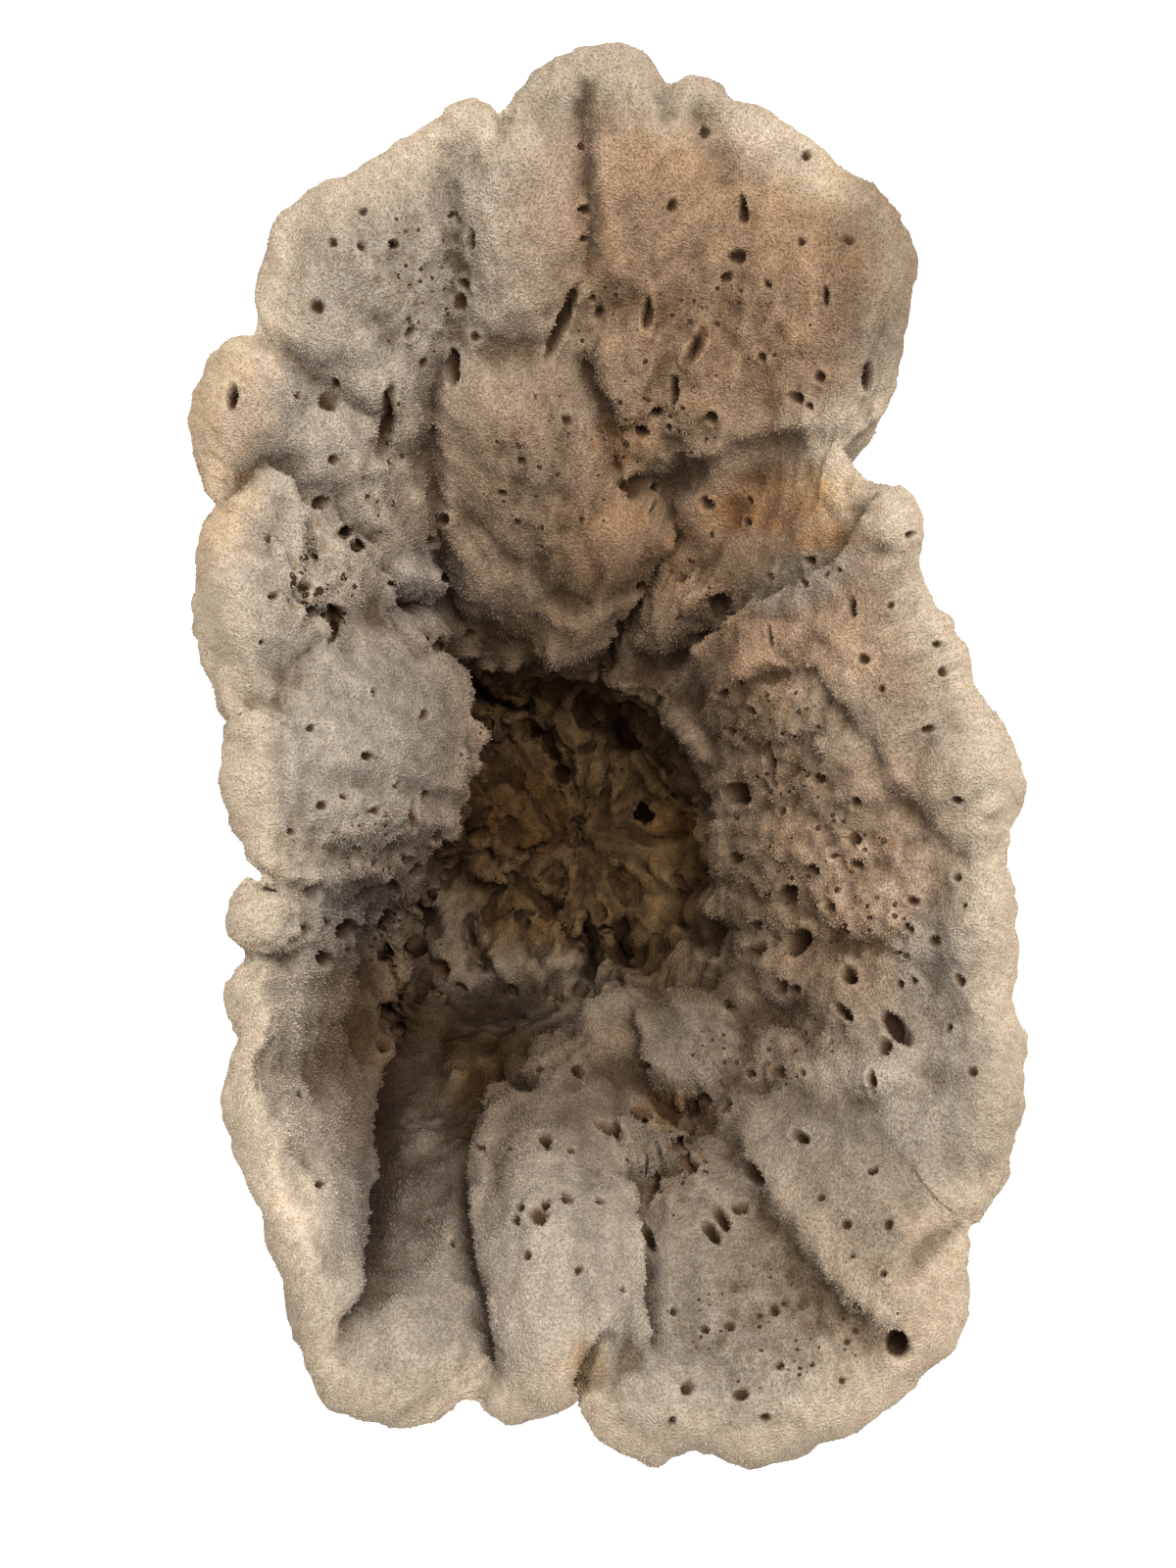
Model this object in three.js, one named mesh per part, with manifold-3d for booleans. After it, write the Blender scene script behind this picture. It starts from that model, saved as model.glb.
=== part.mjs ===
// A cup-shaped sea sponge: one piece of spongy tissue, cut flat where it grew on the rock.
// It stands on that cut with its mouth up. The wall opens from a deep hollow in the middle
// into a lobed rim with folds, lumps, creases and open canals.
// Millimetres, +Z up, +Y towards the long flared end of the mouth.
import * as THREE from "three";
import { mergeVertices } from "three/addons/utils/BufferGeometryUtils.js";
import Module from "manifold-3d";

// Driving sizes
const LENGTH = 230; // along the mouth, from lobe to lobe
const MOUTH_HEIGHT = 95; // height at which the plan below has its full size
const FLOOR_HEIGHT = 17; // floor of the hollow above the cut
const WALL = 12.5; // thickness of the wall below the rim
const FOOT_SPREAD = 11; // how far the foot stands out beyond the hollow
const FLOOR_DISH = 3; // how much the floor rises towards its edge
const NOTCH_DIP = 0.22; // how much the rim sinks for each mm that a notch cuts in
const RELIEF_HEIGHT = 11; // most that lumps and folds stand out of the plain wall
const RELIEF_DEPTH = 9; // most that hollows and creases sink into it
const SWELL = 2.8; // unevenness of the outside
const STAND_OUT = 3; // how far a cutter reaches out of the skin
const BLADE_STEP = 34; // length of a blade's facets, in plan units

// The plan: what an eye nearly straight above the mouth sees, in units of its own, u to the
// right and v down. PLAN_LENGTH units are LENGTH.
const PLAN_LENGTH = 1445;
const PLAN_CENTRE = [600, 800];
const EYE_DISTANCE = 420;
const EYE_ELEVATION = THREE.MathUtils.degToRad(82);
const UNIT = LENGTH / PLAN_LENGTH;
const HOLLOW_CENTRE = [590, 850];

// Rim as seen from above, clockwise from its far end, one point for each turn of the lobes
const RIM = [
  [618, 51], [648, 54], [665, 72], [683, 91], [700, 82], [728, 85], [752, 103], [786, 119],
  [830, 144], [868, 176], [899, 197], [921, 226], [933, 264], [930, 300], [920, 350], [914, 392],
  [902, 424], [880, 441], [856, 452], [862, 470], [886, 492], [918, 501], [940, 526], [940, 560],
  [949, 606], [966, 640], [984, 662], [996, 695], [1012, 728], [1036, 762], [1047, 797], [1040, 824],
  [1029, 850], [1033, 895], [1038, 940], [1036, 980], [1033, 1020], [1043, 1050], [1048, 1082], [1042, 1126],
  [1034, 1175], [1018, 1215], [998, 1241], [986, 1250], [988, 1280], [987, 1320], [974, 1372], [940, 1408],
  [888, 1449], [820, 1480], [755, 1495], [707, 1481], [672, 1491], [630, 1480], [604, 1455], [592, 1425],
  [586, 1396], [578, 1428], [553, 1445], [519, 1450], [478, 1430], [442, 1452], [395, 1456], [345, 1442],
  [312, 1400], [296, 1344], [280, 1290], [262, 1225], [240, 1170], [229, 1122], [236, 1083], [243, 1058],
  [231, 1028], [226, 1004], [247, 977], [236, 950], [237, 920], [252, 900], [264, 896], [254, 878],
  [238, 838], [227, 795], [228, 750], [234, 731], [220, 705], [205, 660], [197, 620], [199, 580],
  [209, 545], [220, 522], [206, 488], [196, 440], [199, 400], [215, 365], [240, 348], [260, 342],
  [259, 312], [268, 274], [287, 224], [323, 193], [372, 169], [417, 144], [452, 116], [482, 107],
  [509, 118], [524, 100], [541, 76], [575, 57],
];

// Edge where the wall drops into the hollow: u, v and height in mm
const HOLLOW_EDGE = [
  [520, 664, 44], [600, 688, 42], [670, 702, 46], [722, 735, 52], [736, 800, 56], [734, 865, 56],
  [742, 930, 52], [744, 980, 48], [690, 1004, 46], [630, 1020, 44], [575, 1050, 38], [510, 1068, 32],
  [445, 1062, 32], [404, 1020, 38], [404, 955, 46], [430, 895, 54], [455, 840, 60], [466, 780, 62],
  [462, 720, 60], [470, 675, 50],
];

// Around the hollow, by angle from the right and counterclockwise: rim height, rim thickness, and
// how the wall rises from the hollow's edge to the crest: below 1 early, above 1 late.
const ROUND = [
  { angle: 0, height: 93, lip: 11, rise: 1.0 },
  { angle: 30, height: 94, lip: 10, rise: 1.0 },
  { angle: 52, height: 92, lip: 9, rise: 1.0 },
  { angle: 62, height: 97, lip: 9, rise: 1.05 },
  { angle: 90, height: 103, lip: 9.5, rise: 1.05 },
  { angle: 120, height: 101, lip: 10.5, rise: 1.1 },
  { angle: 143, height: 98, lip: 11.5, rise: 1.2 },
  { angle: 165, height: 99, lip: 13, rise: 0.95 },
  { angle: 185, height: 101, lip: 13, rise: 0.9 },
  { angle: 200, height: 103, lip: 12.5, rise: 1.3 },
  { angle: 225, height: 105, lip: 12.5, rise: 2.1 },
  { angle: 245, height: 101, lip: 11, rise: 1.5 },
  { angle: 262, height: 98, lip: 10.5, rise: 0.95 },
  { angle: 285, height: 96, lip: 10, rise: 1.15 },
  { angle: 310, height: 93, lip: 10.5, rise: 1.0 },
  { angle: 335, height: 91, lip: 11, rise: 1.0 },
];

// Lumps, and hollows where rise is below 0: middle, half sizes and turn in the plan, rise in mm.
// steep makes the sides fall quicker.
const LUMPS = [
  { name: "long tongue", at: [555, 515], half: [108, 158], turn: -10, rise: 9, steep: 0.7 },
  { name: "nose of the tongue", at: [645, 552], half: [42, 46], turn: 0, rise: 4, steep: 0.7 },
  { name: "root of the tongue", at: [600, 650], half: [56, 36], turn: 10, rise: 4, steep: 0.7 },
  { name: "slanting lump", at: [690, 626], half: [56, 30], turn: -38, rise: 5, steep: 0.6 },
  { name: "left bulge", at: [378, 752], half: [98, 120], turn: 8, rise: 6, steep: 0.7 },
  { name: "pitted block", at: [326, 578], half: [44, 74], turn: -25, rise: 4, steep: 0.6 },
  { name: "upper block", at: [398, 535], half: [48, 84], turn: -18, rise: 4, steep: 0.7 },
  { name: "low knob", at: [424, 588], half: [28, 24], turn: 0, rise: 3, steep: 0.6 },
  { name: "lower knob", at: [432, 640], half: [24, 30], turn: 0, rise: 3, steep: 0.6 },
  { name: "smooth left lobe", at: [258, 606], half: [60, 112], turn: -8, rise: 4, steep: 0.8 },
  { name: "second left lobe", at: [264, 806], half: [44, 92], turn: 0, rise: 2.5, steep: 0.8 },
  { name: "button lobe", at: [266, 936], half: [38, 36], turn: 0, rise: 3.5, steep: 0.7 },
  { name: "near tongue", at: [572, 1262], half: [88, 190], turn: 0, rise: 10, steep: 0.8 },
  { name: "side tongue", at: [664, 1168], half: [42, 26], turn: -5, rise: 5, steep: 0.6 },
  { name: "big knob", at: [700, 1066], half: [58, 54], turn: 0, rise: 8, steep: 0.6 },
  { name: "knob beside it", at: [622, 1050], half: [52, 34], turn: -35, rise: 5, steep: 0.6 },
  { name: "holed knob", at: [556, 1088], half: [46, 24], turn: -22, rise: 4, steep: 0.6 },
  { name: "right bulge", at: [845, 742], half: [132, 150], turn: 0, rise: 3, steep: 1 },
  { name: "right lobe", at: [988, 800], half: [56, 74], turn: 0, rise: 3, steep: 0.9 },
  { name: "long right lobe", at: [1000, 955], half: [42, 96], turn: 0, rise: 2.5, steep: 0.9 },
  { name: "low right lobe", at: [1002, 1110], half: [48, 84], turn: 0, rise: 2.5, steep: 0.9 },
  { name: "near right fold", at: [882, 1216], half: [126, 150], turn: -20, rise: 4, steep: 0.8 },
  { name: "pillow by the canals", at: [850, 1075], half: [96, 44], turn: 5, rise: 3, steep: 0.7 },
  { name: "flap", at: [838, 300], half: [96, 142], turn: 0, rise: 3, steep: 0.9 },
  { name: "far lobe", at: [664, 190], half: [64, 130], turn: 0, rise: 3, steep: 0.8 },
  { name: "far left lobe", at: [528, 235], half: [60, 122], turn: 0, rise: 3, steep: 0.8 },
  { name: "left corner lobe", at: [376, 272], half: [78, 108], turn: 20, rise: 3, steep: 0.8 },
  { name: "left top lobe", at: [256, 412], half: [58, 68], turn: 0, rise: 3, steep: 0.8 },
  { name: "pocket under the flap", at: [790, 508], half: [92, 46], turn: -6, rise: -2, steep: 1 },
  { name: "corner of the pocket", at: [688, 490], half: [40, 26], turn: -20, rise: -4, steep: 0.9 },
  { name: "grey hollow", at: [378, 936], half: [54, 42], turn: 10, rise: -5, steep: 0.9 },
  { name: "cavity under the knob", at: [690, 1136], half: [44, 26], turn: 15, rise: -9, steep: 0.8 },
  { name: "shallow brown hollow", at: [622, 322], half: [36, 42], turn: 0, rise: -2.5, steep: 1 },
  { name: "long trough", at: [420, 1180], half: [46, 150], turn: 6, rise: -4, steep: 1 },
  { name: "floor lump", at: [506, 728], half: [40, 32], turn: 15, rise: 4, steep: 0.6 },
  { name: "broad floor lump", at: [522, 846], half: [54, 62], turn: 0, rise: 4, steep: 0.6 },
  { name: "narrow floor lump", at: [572, 742], half: [26, 44], turn: -35, rise: 3.5, steep: 0.6 },
  { name: "far right floor lump", at: [684, 766], half: [42, 52], turn: 0, rise: 5, steep: 0.6 },
  { name: "middle floor lump", at: [604, 920], half: [42, 52], turn: 0, rise: 4.5, steep: 0.6 },
  { name: "near floor lump", at: [540, 968], half: [58, 44], turn: 0, rise: 4, steep: 0.6 },
  { name: "left floor lump", at: [448, 965], half: [32, 60], turn: 0, rise: 3.5, steep: 0.6 },
  { name: "right floor lump", at: [688, 936], half: [46, 52], turn: 0, rise: 4, steep: 0.6 },
];

// Creases: a path in the plan, half width in plan units, depth in mm
const CREASES = [
  {
    name: "far crease",
    path: [
      [592, 70], [593, 120], [597, 180], [600, 240], [598, 288],
    ],
    width: 8, depth: 6,
  },
  {
    name: "left far crease",
    path: [
      [455, 135], [460, 200], [470, 275], [460, 350], [450, 400],
    ],
    width: 13, depth: 4,
  },
  { name: "right far crease", path: [[722, 110], [734, 160], [754, 225], [748, 300]], width: 14, depth: 2 },
  { name: "slit by the tongue", path: [[598, 365], [608, 400], [622, 440], [636, 490]], width: 9, depth: 4 },
  { name: "slant in the wall", path: [[740, 612], [706, 650], [680, 690]], width: 10, depth: 4 },
  { name: "gap at the nose", path: [[676, 566], [650, 610], [628, 640], [620, 684]], width: 11, depth: 5 },
  { name: "left notch", path: [[262, 343], [300, 370], [345, 400], [392, 440]], width: 12, depth: 2.5 },
  { name: "button notch", path: [[256, 900], [290, 902], [330, 915]], width: 9, depth: 3 },
  { name: "second button notch", path: [[236, 978], [270, 975], [300, 985]], width: 8, depth: 3 },
  { name: "hook", path: [[588, 1430], [588, 1388], [602, 1374], [618, 1370]], width: 8, depth: 5 },
  { name: "near notch", path: [[486, 1440], [500, 1400], [504, 1350]], width: 8, depth: 3 },
  { name: "torn notch", path: [[994, 1244], [960, 1266], [930, 1290]], width: 9, depth: 2.5 },
  { name: "far notch", path: [[512, 112], [510, 150]], width: 9, depth: 2 },
  { name: "second far notch", path: [[682, 86], [688, 125]], width: 9, depth: 2 },
  {
    name: "near edge of the floor",
    path: [
      [748, 1000], [700, 992], [640, 996], [575, 1060], [512, 1092],
    ],
    width: 9, depth: 4,
  },
  { name: "floor crack", path: [[592, 688], [604, 735], [640, 762], [660, 756]], width: 8, depth: 5 },
  { name: "long floor crack", path: [[548, 745], [566, 775], [580, 800]], width: 7, depth: 5 },
  { name: "left floor crack", path: [[478, 700], [500, 715], [545, 722]], width: 5, depth: 4 },
  { name: "near floor crack", path: [[566, 880], [560, 925], [600, 985], [592, 1010]], width: 7, depth: 4 },
  { name: "right floor crack", path: [[632, 880], [636, 920], [640, 975]], width: 7, depth: 5 },
  { name: "foot of the left wall", path: [[476, 932], [492, 975], [500, 990]], width: 6, depth: 5 },
];

// Folds: a path in the plan whose left side, going along it, stands up by rise over the other side, which
// drops by drop in a gap. reach is how far the raised side takes to level out.
const FOLDS = [
  {
    name: "left rim",
    path: [
      [392, 1375], [372, 1335], [362, 1285], [364, 1230], [346, 1180], [330, 1140], [336, 1100], [354, 1050],
      [386, 1018], [404, 975], [440, 905],
    ],
    rise: 3, reach: 55, drop: 6, gap: 24,
  },
  {
    name: "left bulge",
    path: [
      [434, 884], [450, 838], [466, 790], [468, 742], [460, 702], [428, 662], [404, 612],
    ],
    rise: 2.5, reach: 50, drop: 5, gap: 16,
  },
  {
    name: "flap over the pocket",
    path: [
      [682, 480], [716, 468], [750, 450], [800, 441], [866, 446],
    ],
    rise: 3, reach: 70, drop: 4, gap: 20,
  },
  {
    name: "right ridge",
    path: [
      [700, 684], [735, 642], [780, 612], [830, 585], [880, 556], [934, 548],
    ],
    rise: -3.5, reach: 26, drop: -3.5, gap: 60,
  },
  {
    name: "near right fold",
    path: [
      [935, 1372], [890, 1352], [860, 1328], [828, 1290], [800, 1240], [765, 1185], [732, 1132],
    ],
    rise: -4, reach: 20, drop: -3.5, gap: 60,
  },
  {
    name: "near tongue right",
    path: [
      [662, 1376], [652, 1320], [645, 1260], [638, 1204],
    ],
    rise: 2, reach: 50, drop: 5, gap: 16,
  },
  {
    name: "near tongue left",
    path: [
      [556, 1106], [514, 1126], [498, 1175], [488, 1230], [487, 1290], [500, 1335], [508, 1400],
    ],
    rise: 2, reach: 50, drop: 4, gap: 12,
  },
  {
    name: "lobe over lobe",
    path: [
      [304, 545], [300, 500], [284, 478], [262, 480], [244, 500], [222, 522],
    ],
    rise: 2.5, reach: 50, drop: 4, gap: 16,
  },
  {
    name: "crack of the block",
    path: [
      [394, 624], [380, 604], [368, 575], [350, 540],
    ],
    rise: 1, reach: 30, drop: 4, gap: 8,
  },
  {
    name: "long tongue left",
    path: [
      [470, 366], [450, 400], [446, 470], [450, 540], [462, 590], [482, 645],
    ],
    rise: 1.5, reach: 40, drop: 5, gap: 13,
  },
  {
    name: "long tongue right",
    path: [
      [616, 690], [626, 642], [646, 612], [670, 585], [686, 548], [674, 520],
    ],
    rise: 1.5, reach: 40, drop: 5, gap: 15,
  },
  {
    name: "big knob",
    path: [
      [640, 1092], [665, 1106], [695, 1126], [726, 1118],
    ],
    rise: 2, reach: 40, drop: 6, gap: 18,
  },
];

// Slots, where a fold lies over the wall beside it or a crease runs deep: a path in the plan, width at the
// skin and depth in mm, and how far the bottom runs under the path's left side for each mm of depth
const SLOTS = [
  { name: "far crease", path: [[593, 80], [597, 180], [600, 286]], width: 2.4, depth: 6, lean: 0 },
  { name: "by the long tongue", path: [[598, 365], [610, 405], [626, 452]], width: 2.6, depth: 4, lean: 0 },
  { name: "gap at the nose", path: [[616, 692], [630, 636], [668, 584]], width: 3.2, depth: 5, lean: 0.3 },
  {
    name: "under the left rim",
    path: [[366, 1290], [366, 1230], [350, 1180], [336, 1136]],
    width: 4, depth: 5, lean: 0.6,
  },
  {
    name: "under the flap",
    path: [[700, 480], [750, 456], [800, 448], [850, 450]],
    width: 3.4, depth: 5, lean: 0.6,
  },
  { name: "under the knob", path: [[650, 1102], [690, 1128], [722, 1122]], width: 5, depth: 7, lean: 0.7 },
  {
    name: "beside the near tongue",
    path: [[660, 1350], [648, 1290], [640, 1220]],
    width: 3.6, depth: 5, lean: 0.4,
  },
  { name: "hook", path: [[590, 1404], [592, 1384], [606, 1374], [622, 1374]], width: 3, depth: 6, lean: 0 },
];

// Large canals that open on the inside: middle in the plan, radius in plan units, depth in mm
const CANALS = [
  [572, 330, 13, 7], [596, 212, 8, 5], [708, 356, 10, 6], [654, 442, 9, 6], [668, 421, 9, 6],
  [752, 263, 9, 5], [725, 427, 8, 5], [838, 385, 8, 4], [345, 632, 13, 8], [326, 513, 10, 5],
  [309, 599, 9, 5], [392, 940, 14, 5], [352, 950, 13, 5], [425, 966, 13, 6], [449, 990, 12, 6],
  [752, 818, 14, 7], [784, 775, 11, 5], [808, 960, 14, 5], [870, 994, 11, 5], [912, 1052, 14, 5],
  [620, 1152, 12, 6], [664, 1213, 11, 6], [692, 1168, 12, 6], [734, 1243, 9, 5], [722, 1258, 9, 5],
  [770, 1198, 11, 5], [568, 1228, 8, 4], [587, 1220, 8, 4], [908, 1374, 11, 5], [398, 432, 13, 5],
];

// Rings of the grid that covers the sponge, from the floor's middle over the rim to the cut. Each is at
// a share of its zone and has as many vertices as its length needs.
const RINGS = [
  ...ringsIn("floor", 4, 14, 60),
  ...ringsIn("drop", 4, 68, 78),
  ...ringsIn("wall", 17, 84, 160),
  ...ringsIn("lip", 3, 2 * RIM.length, 2 * RIM.length),
  ...ringsIn("outside", 7, 104, 62),
];
const FACET = 11; // half the size of the rings' facets in the plan, over which the relief is averaged

function ringsIn(zone, count, first, last) {
  return Array.from({ length: count }, (_, i) => {
    const vertices = Math.round(THREE.MathUtils.lerp(first, last, i / (count - 1)));
    return { zone, share: (i + 1) / count, vertices };
  });
}

const { clamp, degToRad, lerp, radToDeg, smoothstep } = THREE.MathUtils;
const forward = new THREE.Vector3(0, Math.cos(EYE_ELEVATION), -Math.sin(EYE_ELEVATION));
const upward = new THREE.Vector3(0, Math.sin(EYE_ELEVATION), Math.cos(EYE_ELEVATION));
const eye = new THREE.Vector3(0, 0, MOUTH_HEIGHT).addScaledVector(forward, -EYE_DISTANCE);
const eyeReach = EYE_DISTANCE / UNIT;

// The point at height z that is seen at u, v of the plan.
function pointAt(u, v, z) {
  const ray = forward.clone().multiplyScalar(eyeReach);
  ray.x += u - PLAN_CENTRE[0];
  ray.addScaledVector(upward, PLAN_CENTRE[1] - v);
  return eye.clone().addScaledVector(ray, (z - eye.z) / ray.z);
}

// Where a point is seen in the plan.
function seenAt(point) {
  const from = point.clone().sub(eye);
  const scale = eyeReach / from.dot(forward);
  return [PLAN_CENTRE[0] + from.x * scale, PLAN_CENTRE[1] - from.dot(upward) * scale];
}

const angleOf = (u, v) => radToDeg(Math.atan2(HOLLOW_CENTRE[1] - v, u - HOLLOW_CENTRE[0]));
const angleBetween = (a, b) => THREE.MathUtils.euclideanModulo(a - b + 180, 360) - 180;

// A property of ROUND at an angle, joined smoothly between its entries.
function around(property, angle) {
  const full = THREE.MathUtils.euclideanModulo(angle, 360);
  const next = ROUND.findIndex((entry) => entry.angle > full);
  const b = ROUND[next < 0 ? 0 : next];
  const a = ROUND[(next < 0 ? ROUND.length : next) - 1];
  const share = (full - a.angle) / THREE.MathUtils.euclideanModulo(b.angle - a.angle, 360);
  return lerp(a[property], b[property], smoothstep(share, 0, 1));
}

// The hollow's edge at an angle, as u, v and height.
const edgeCurve = new THREE.CatmullRomCurve3(HOLLOW_EDGE.map((p) => new THREE.Vector3(...p)), true);
const edgePoints = edgeCurve.getPoints(720);
function edgeAt(angle) {
  const miss = (p) => Math.abs(angleBetween(angleOf(p.x, p.y), angle));
  return edgePoints.reduce((best, p) => (miss(p) < miss(best) ? p : best));
}

// At each listed point of the rim: the rim evened out, the way into the sponge and the depth of the notch,
// taken over NEAR points to each side, and the angle round the hollow, taken over FAR points.
const NEAR = 3;
const FAR = 7;
const stations = RIM.map(([u, v], i) => {
  const at = (k) => RIM[(i + k + RIM.length) % RIM.length];
  const mean = (reach, f) => {
    const steps = Array.from({ length: 2 * reach + 1 }, (_, k) => k - reach);
    return steps.reduce((sum, k) => sum + f(k), 0) / steps.length;
  };
  const fromCentre = ([pu, pv]) => Math.hypot(pu - HOLLOW_CENTRE[0], pv - HOLLOW_CENTRE[1]);
  const along = [0, 1].map((axis) => mean(NEAR, (k) => at(k + 1)[axis] - at(k - 1)[axis]));
  const angle = angleOf(u, v);
  return {
    even: new THREE.Vector2(...[0, 1].map((axis) => mean(NEAR, (k) => at(k)[axis]))),
    inward: new THREE.Vector2(-along[1], along[0]).normalize(),
    angle: angle + mean(FAR, (k) => angleBetween(angleOf(...at(k)), angle)),
    notch: (mean(NEAR, (k) => fromCentre(at(k))) - fromCentre([u, v])) * UNIT,
  };
});
const rimPoints = RIM.map(([u, v]) => new THREE.Vector3(u, v, 0));
const rimCurve = new THREE.CatmullRomCurve3(rimPoints, true, "centripetal");

// A cut through the wall from the floor's middle over the rim to the foot, at the share t of the way
// round the rim. Each zone's method gives a point at a share of that zone.
class Section {
  constructor(t) {
    const place = t * stations.length;
    const a = stations[Math.floor(place)];
    const b = stations[(Math.floor(place) + 1) % stations.length];
    const share = place % 1;
    const rim = rimCurve.getPoint(t);
    const angle = a.angle + share * angleBetween(b.angle, a.angle);
    const inward = a.inward.clone().lerp(b.inward, share).normalize();
    this.even = a.even.clone().lerp(b.even, share);
    this.lipSize = around("lip", angle);
    this.late = around("rise", angle);
    this.edge = edgeAt(angle);
    const top = around("height", angle) - NOTCH_DIP * lerp(a.notch, b.notch, share);
    this.side = pointAt(rim.x, rim.y, top - this.lipSize / 2);
    this.into = new THREE.Vector3(inward.x, -inward.y, 0);
    this.lipMiddle = this.side.clone().addScaledVector(this.into, this.lipSize / 2);
    this.crest = this.lipMiddle.clone().setZ(this.lipMiddle.z + this.lipSize / 2);
    this.foot = [lerp(this.edge.x, HOLLOW_CENTRE[0], 0.15), lerp(this.edge.y, HOLLOW_CENTRE[1], 0.15)];
    this.outsideCurve = this.makeOutside();
  }

  floor(share) {
    const [u, v] = [lerp(HOLLOW_CENTRE[0], this.foot[0], share), lerp(HOLLOW_CENTRE[1], this.foot[1], share)];
    return pointAt(u, v, FLOOR_HEIGHT + FLOOR_DISH * share * share);
  }

  drop(share) {
    const height = lerp(FLOOR_HEIGHT + FLOOR_DISH, this.edge.z, Math.sin((share * Math.PI) / 2));
    return pointAt(lerp(this.foot[0], this.edge.x, share), lerp(this.foot[1], this.edge.y, share), height);
  }

  // Going down the wall from the crest, the lobes and notches of the rim fade out.
  wall(share) {
    const [u, v] = seenAt(this.crest);
    const lobes = share ** 2;
    const wallU = lerp(this.edge.x, this.even.x, share) + lobes * (u - this.even.x);
    const wallV = lerp(this.edge.y, this.even.y, share) + lobes * (v - this.even.y);
    const climb = Math.sin((share * Math.PI) / 2) ** this.late;
    return pointAt(wallU, wallV, lerp(this.edge.z, this.crest.z, climb));
  }

  lip(share) {
    const turn = (share * Math.PI) / 2;
    const point = this.lipMiddle.clone().addScaledVector(this.into, (-Math.sin(turn) * this.lipSize) / 2);
    return point.setZ(point.z + (Math.cos(turn) * this.lipSize) / 2);
  }

  outside(share) {
    return this.outsideCurve.getPoint(share);
  }

  // The outside keeps the wall's thickness round the hollow's edge and ends at the foot.
  makeOutside() {
    const edgePoint = pointAt(this.edge.x, this.edge.y, this.edge.z);
    const out = new THREE.Vector3(this.side.x - edgePoint.x, this.side.y - edgePoint.y, 0).normalize();
    const half = this.wall(0.5).addScaledVector(out, WALL * 0.8);
    return new THREE.CatmullRomCurve3([
      this.side,
      half.setZ(half.z - WALL * 0.95),
      edgePoint.clone().addScaledVector(out, WALL * 1.15).setZ(this.edge.z * 0.68),
      edgePoint.clone().addScaledVector(out, FOOT_SPREAD).setZ(0),
    ]);
  }
}

// Distance from a place to a path, with the side it lies on and how far along the path it is, 0 to 1.
function alongPath(path, u, v) {
  let best = { distance: Infinity };
  for (let i = 0; i + 1 < path.length; i++) {
    const [[au, av], [bu, bv]] = [path[i], path[i + 1]];
    const [du, dv] = [bu - au, bv - av];
    const share = clamp(((u - au) * du + (v - av) * dv) / (du * du + dv * dv), 0, 1);
    const distance = Math.hypot(u - au - share * du, v - av - share * dv);
    if (distance < best.distance) {
      const side = Math.sign((u - au) * dv - (v - av) * du);
      best = { distance, side, along: (i + share) / (path.length - 1) };
    }
  }
  return best;
}

// How much of a crease or fold is left towards its ends.
const endFade = (along) => smoothstep(Math.min(along, 1 - along), -0.06, 0.12);

// Height of the relief over the plain wall at a place in the plan, in mm.
function reliefAt(u, v) {
  let height = 0;
  for (const { at, half, turn, rise, steep } of LUMPS) {
    const [cos, sin] = [Math.cos(degToRad(turn)), Math.sin(degToRad(turn))];
    const [du, dv] = [u - at[0], v - at[1]];
    const x = (du * cos + dv * sin) / half[0];
    const y = (dv * cos - du * sin) / half[1];
    height += rise * Math.max(0, 1 - x * x - y * y) ** steep;
  }
  for (const { path, width, depth } of CREASES) {
    const { distance, along } = alongPath(path, u, v);
    height -= depth * endFade(along) * Math.exp(-((distance / width) ** 2));
  }
  for (const { path, rise, reach, drop, gap } of FOLDS) {
    const { distance, side, along } = alongPath(path, u, v);
    const shift = side > 0 ? rise * Math.exp(-distance / reach) : -drop * Math.exp(-((distance / gap) ** 2));
    height += endFade(along) * shift;
  }
  return clamp(height, -RELIEF_DEPTH, RELIEF_HEIGHT);
}

// The same, averaged over the size of a facet.
const SPREAD = [[0, 0], [1, 0], [0.5, 0.87], [-0.5, 0.87], [-1, 0], [-0.5, -0.87], [0.5, -0.87]];
function facetRelief(u, v) {
  return SPREAD.reduce((sum, [du, dv]) => sum + reliefAt(u + FACET * du, v + FACET * dv), 0) / SPREAD.length;
}

// Slow swelling of the outside, in mm.
function swellAt({ x, y, z }) {
  const broad = Math.sin(x / 11 + Math.sin(z / 17)) * Math.sin(z / 14 + y / 23);
  const folded = Math.sin(y / 9 + z / 26) * Math.sin(x / 15 - z / 21);
  return SWELL * (broad + 0.8 * folded);
}

// How far a point of a zone moves out of the plain shape.
function liftAt(zone, share, point) {
  if (zone === "outside") return swellAt(point) * Math.sin(Math.PI * Math.sqrt(share));
  return facetRelief(...seenAt(point)) * (zone === "lip" ? 1 - 0.8 * share : 1);
}

// Triangles between two rings of vertex numbers, the second outside the first.
function stitch(inner, outer) {
  const faces = [];
  let [i, o] = [inner.length > 1 ? 0 : 1, outer.length > 1 ? 0 : 1];
  while (i < inner.length || o < outer.length) {
    const outerIsBehind = (o + 1) / outer.length <= (i + 1) / inner.length;
    const outerIsNext = i >= inner.length || (o < outer.length && outerIsBehind);
    const [a, b] = [inner[i % inner.length], outer[o % outer.length]];
    if (outerIsNext) faces.push(a, outer[++o % outer.length], b);
    else faces.push(a, inner[++i % inner.length], b);
  }
  return faces;
}

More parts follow.
